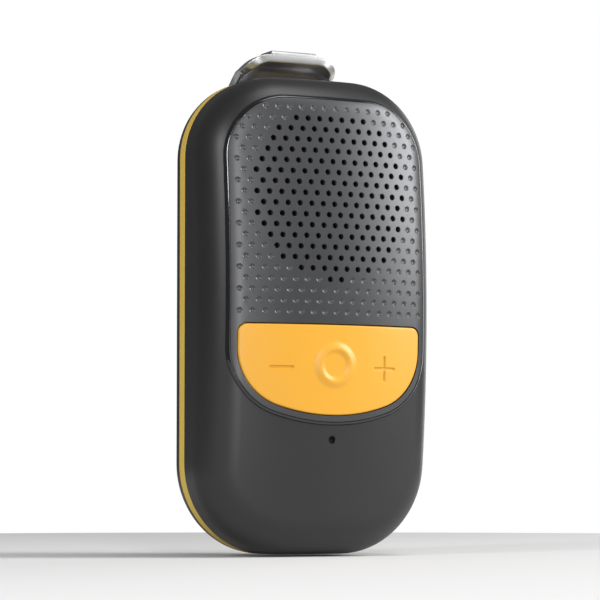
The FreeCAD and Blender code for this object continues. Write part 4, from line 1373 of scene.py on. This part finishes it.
@dataclass
class Clip:
    """The sprung belt clip: a bent strip with a rib, and two lugs about the pin."""

    width: float = 22.0
    thick: float = 1.6
    corner: float = 4.6
    toe_corner: float = 3.0
    edge: float = 0.3
    rib: tuple[float, float, float] = (10.2, 6.0, 0.8)
    front: float = 1.7
    pivot: tuple[float, float] = (9.9, 84.0)
    knuckle: float = 1.7
    lug_thick: float = 1.6
    lug_across: float = 6.4
    arch_from: float = 5.0
    arch_radius: float = 5.6
    arch_ends: float = 15.0
    arch_fades: float = 12.0
    top: float = 97.9
    back: float = 12.6
    rib_base: float = 98.7

    def path(self) -> tuple[Array, Array]:
        """The strip's middle line, in the YZ plane.

        Returns:
            Its points and its direction at each.
        """
        spots = np.array([(self.front, self.top), (7.0, self.top), (self.back, 87.5), (self.back, 46.0),
                          (9.0, 25.5), (10.6, 19.5)])
        radii = (3.5, 8.0, 32.0, 6.4)
        points, ways = [], []
        start = spots[0]
        for here, after, last, radius in zip(spots[1:], spots[2:], spots[:-1], radii):
            come, leave = here - last, after - here
            come, leave = come / np.linalg.norm(come), leave / np.linalg.norm(leave)
            turn = math.atan2(come[0] * leave[1] - come[1] * leave[0], come @ leave)
            cut = radius * math.tan(abs(turn) / 2)
            first = here - come * cut
            steps = max(int(np.linalg.norm(first - start) / 1.2), 2)
            for share in np.linspace(0.0, 1.0, steps, endpoint=False):
                points.append(start + (first - start) * share)
                ways.append(come)
            side = np.array([-come[1], come[0]]) * math.copysign(1.0, turn)
            middle = first + side * radius
            for angle in np.linspace(0.0, turn, 14, endpoint=False):
                spin = np.array([[math.cos(angle), -math.sin(angle)], [math.sin(angle), math.cos(angle)]])
                points.append(middle + spin @ (-side * radius))
                ways.append(spin @ come)
            start = here + leave * cut
        for share in np.linspace(0.0, 1.0, 8):
            points.append(start + (spots[-1] - start) * share)
            ways.append((spots[-1] - start) / np.linalg.norm(spots[-1] - start))
        return np.array(points), np.array(ways)

    def build(self) -> None:
        """Makes the clip."""
        points, ways = self.path()
        along = np.concatenate([[0.0], np.cumsum(np.linalg.norm(np.diff(points, axis=0), axis=1))])
        total = along[-1]
        quarter = np.linspace(0.0, math.pi / 2, 14)
        near = np.concatenate([[0.04, 0.12, 0.22], self.corner * (1.0 - np.cos(quarter))])
        places = np.unique(np.concatenate([
            near, along[(along > self.corner) & (along < total - self.corner)], total - near]).round(4))
        spots = np.stack([np.interp(places, along, points[:, k]) for k in (0, 1)], 1)
        turns = np.stack([np.interp(places, along, ways[:, k]) for k in (0, 1)], 1)
        turns /= np.linalg.norm(turns, axis=1, keepdims=True)
        skin = Skin()
        rings = []
        for place, spot, way in zip(places, spots, turns):
            left = min(place, total - place)
            half = self.width / 2
            corner = self.corner if place < total / 2 else self.toe_corner
            if left < corner:
                half += math.sqrt(corner ** 2 - (corner - left) ** 2) - corner
            deep = self.thick / 2
            if left < self.edge:
                deep += math.sqrt(self.edge ** 2 - (self.edge - left) ** 2) - self.edge
            ring = self.section(half, deep)
            bend = float(smooth(np.array([(self.arch_ends - place) / self.arch_fades]))[0])
            normal = np.array([-way[1], way[0]])
            x, over = self.arch(ring[:, 0], ring[:, 1], bend)
            out = spot + over[:, None] * normal
            rings.append(np.stack([x, out[:, 0], out[:, 1]], 1))
        rows = skin.loft(rings)
        count = len(rings[0])
        for row in (rows[0], rows[-1]):
            for here in range(count // 2 - 1):
                skin.faces.append((row[here], row[here + 1], row[count - 2 - here], row[count - 1 - here]))
        self.top_rib(skin)
        for side in (-1, 1):
            self.lug(skin, side * self.lug_across)
        made = skin.mesh("belt_clip_lever")
        polish(made, 34.0)
        piece(made, CLIP, body="clip", replaces=("belt_clip",))

    def arch(self, wide: Array, over: Array, bend: float) -> tuple[Array, Array]:
        """Bends the strip's cross-section down at both sides.

        Args:
            wide: distances from the middle, along the strip's surface.
            over: distances above its middle surface.
            bend: how much of the whole bend it has here, from 0 to 1.

        Returns:
            The bent section's distances across and above.
        """
        side, past = np.sign(wide), np.maximum(np.abs(wide) - self.arch_from, 0.0)
        radius = self.arch_radius / max(bend, 1e-4)
        turn = past / radius
        across = np.minimum(np.abs(wide), self.arch_from) + radius * np.sin(turn) + over * np.sin(turn)
        return side * across, over * np.cos(turn) - radius * (1.0 - np.cos(turn))

    def section(self, half: float, deep: float) -> Array:
        """The strip's cross-section.

        Args:
            half: half its width.
            deep: half its thickness.

        Returns:
            A row of points along its outer face and back along its inner face.
        """
        edge = min(self.edge, deep)
        share = np.linspace(-1.0, 1.0, 29)
        flat = half - edge
        turns = np.linspace(0.0, math.pi / 2, 5)[:-1]
        left = [(-flat - edge * math.cos(a), (deep - edge) + edge * math.sin(a)) for a in turns]
        upper = left + [(s * flat, deep) for s in share] + [(-x, n) for x, n in left[::-1]]
        return np.array(upper + [(x, -n) for x, n in upper[::-1]])

    def top_rib(self, skin: Skin) -> None:
        """The raised rib on top of the strip, with a sloping front.

        Args:
            skin: what it is added to.
        """
        wide, long, tall = self.rib
        rings = []
        for along, less, top in ((0.16, 0.25, -0.6), (0.16, 0.25, 0.1), (0.3, 0.12, tall - 0.45),
                                 (0.42, 0.1, tall - 0.2), (0.62, 0.1, tall - 0.06), (0.9, 0.1, tall),
                                 (long - 0.8, 0.1, tall), (long - 0.3, 0.1, tall - 0.15),
                                 (long, 0.1, 0.0), (long, 0.1, -0.6)):
            y, half = self.front + along, wide / 2 - less
            edge = min(0.4, max((top + 0.6) * 0.5, 0.01))
            turns = np.linspace(math.pi / 2, 0.0, 6)
            right = [(half - edge + edge * math.cos(a), top - edge + edge * math.sin(a)) for a in turns]
            arch = [(half, -0.62)] + right[::-1] + [(-x, z) for x, z in right] + [(-half, -0.62)]
            rings.append(np.array([(x, y, self.rib_base + z) for x, z in arch]))
        rows = skin.loft(rings)
        skin.close(rows)

    def lug(self, skin: Skin, x: float) -> None:
        """One tongue from the strip's inner face to the pin.

        Args:
            skin: what it is added to.
            x: its middle.
        """
        y, z = self.pivot
        turns = np.linspace(math.pi / 2, 3 * math.pi / 2, 22)
        outline = [(y + self.knuckle * math.cos(a), z + self.knuckle * math.sin(a)) for a in turns]
        outline = np.array(outline + [(12.3, z - self.knuckle), (12.3, z + self.knuckle)])
        middle = outline.mean(0)
        rings = []
        for at, less in ((-0.5, 0.06), (-0.46, 0.015), (-0.42, 0.0), (0.42, 0.0), (0.46, 0.015), (0.5, 0.06)):
            shape = middle + (outline - middle) * (1.0 - less)
            across = np.full(len(shape), x + at * self.lug_thick)
            rings.append(np.stack([across, shape[:, 0], shape[:, 1]], 1))
        rows = skin.loft(rings)
        skin.close(rows)


@dataclass
class Insides:
    """The CAD pieces that are shown as they are, with their finishes."""

    finishes: dict[str, Finish] = field(default_factory=lambda: {
        "housing_seal": SEAL, "clip_pin": SCREW, "key_membrane": KEY,
        "switch_minus": SWITCH, "switch_centre": SWITCH, "switch_plus": SWITCH, "key_board": BOARD,
        "main_board": BOARD, "dust_cloth": CLOTH, "speaker_gasket": FOAM, "battery_pad": FOAM,
        "speaker_basket": BASKET, "speaker_magnet": MAGNET, "speaker_yoke": YOKE, "voice_coil": COIL,
        "speaker_cone": CONE, "dust_cap": CONE, "speaker_surround": RUBBER, "mic_boot": RUBBER,
        "clip_pad": RUBBER, "mic_capsule": CAPSULE, "battery_pack": BATTERY, "amplifier_chip": CHIP,
        "port_tongue": CHIP, "charge_port": PORT, "battery_leads": LEAD, "speaker_leads": LEAD,
        "clip_bracket": BRACKET, "clip_spring": SPRING,
    })

    def build(self) -> None:
        """Gives each CAD piece that is still shown its finish."""
        for name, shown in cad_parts.items():
            if shown.hide_render:
                continue
            finish = self.finishes.get(name, CHASSIS)
            shown.data.materials.clear()
            shown.data.materials.append(finish.build())
            LOG.info("%s: shown from the CAD with %s", name, finish.name)


@dataclass
class Studio:
    """The pale floor, the soft lights and the camera."""

    place: tuple[float, float, float] = (-0.23073, -0.47514, 0.01338)
    target: tuple[float, float, float] = (-0.007483, -0.016072, 0.048595)
    lens: float = 161.05
    floor: float = -0.0004
    reach: float = 0.26

    def build(self) -> None:
        """Sets the stage."""
        bpy.context.scene.view_settings.view_transform = "Standard"
        self.sky()
        self.ground()
        self.lamp("key_light", (0.62, -0.36, 0.36), (0.26, 0.44), 6.6)
        self.lamp("front_left", (-0.22, -0.69, 0.2), (0.12, 0.5), 2.4)
        self.lamp("top_light", (0.1, -0.2, 0.64), (0.3, 0.3), 1.4)
        self.lamp("left_strip", (-0.5, -0.28, 0.28), (0.06, 0.2), 1.2)
        self.lamp("back_light", (0.5, 0.35, 0.1), (0.2, 0.5), 0.6)
        self.camera()

    def sky(self) -> None:
        """An even sky: white to the camera and dimmer to everything else."""
        world = bpy.data.worlds.new("studio_sky")
        bpy.context.scene.world = world
        world.use_nodes = True
        tree = Tree(world.node_tree)
        seen = tree.out(tree.add("ShaderNodeLightPath"), "Is Camera Ray")
        ground = world.node_tree.nodes["Background"]
        ground.inputs["Color"].default_value = (1.0, 1.0, 1.0, 1.0)
        tree.join(seen * 0.84 + 0.16, ground.inputs["Strength"])

    def ground(self) -> None:
        """The floor."""
        mesh = bpy.data.meshes.new("floor")
        turns = np.linspace(0.0, 2 * math.pi, 96, endpoint=False)
        points = [(self.reach * math.cos(a), self.reach * math.sin(a), self.floor) for a in turns]
        mesh.from_pydata(points, [], [tuple(range(len(turns)))])
        shown = loose(mesh)
        mesh.materials.append(Finish("floor_paper", (0.9, 0.9, 0.9), 0.9, relief=0.0, tone=0.0).build())

    def lamp(self, name: str, place: tuple[float, float, float], size: tuple[float, float],
             power: float) -> None:
        """One soft light, aimed at the object.

        Args:
            name: its name.
            place: where it is, in metres.
            size: its two sides.
            power: its power in watts.
        """
        data = bpy.data.lights.new(name, "AREA")
        data.shape, data.size, data.size_y, data.energy = "RECTANGLE", *size, power
        lamp = bpy.data.objects.new(name, data)
        bpy.context.scene.collection.objects.link(lamp)
        lamp.location = place
        way = Vector((0.0, -0.005, 0.048)) - Vector(place)
        lamp.rotation_euler = way.to_track_quat("-Z", "Y").to_euler()

    def camera(self) -> None:
        """The camera, below the middle and to the left."""
        data = bpy.data.cameras.new("camera")
        data.lens, data.sensor_width, data.clip_start = self.lens, 36.0, 0.01
        shown = bpy.data.objects.new("camera", data)
        bpy.context.scene.collection.objects.link(shown)
        shown.location = self.place
        way = Vector(self.target) - Vector(self.place)
        shown.rotation_euler = way.to_track_quat("-Z", "Y").to_euler()
        bpy.context.scene.camera = shown


def main() -> None:
    """Builds the whole scene."""
    logging.basicConfig(level=logging.INFO, format="%(name)s: %(message)s")
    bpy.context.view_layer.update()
    Housing().build()
    Front().build()
    Clip().build()
    Insides().build()
    Studio().build()


if __name__ == "__main__":
    main()
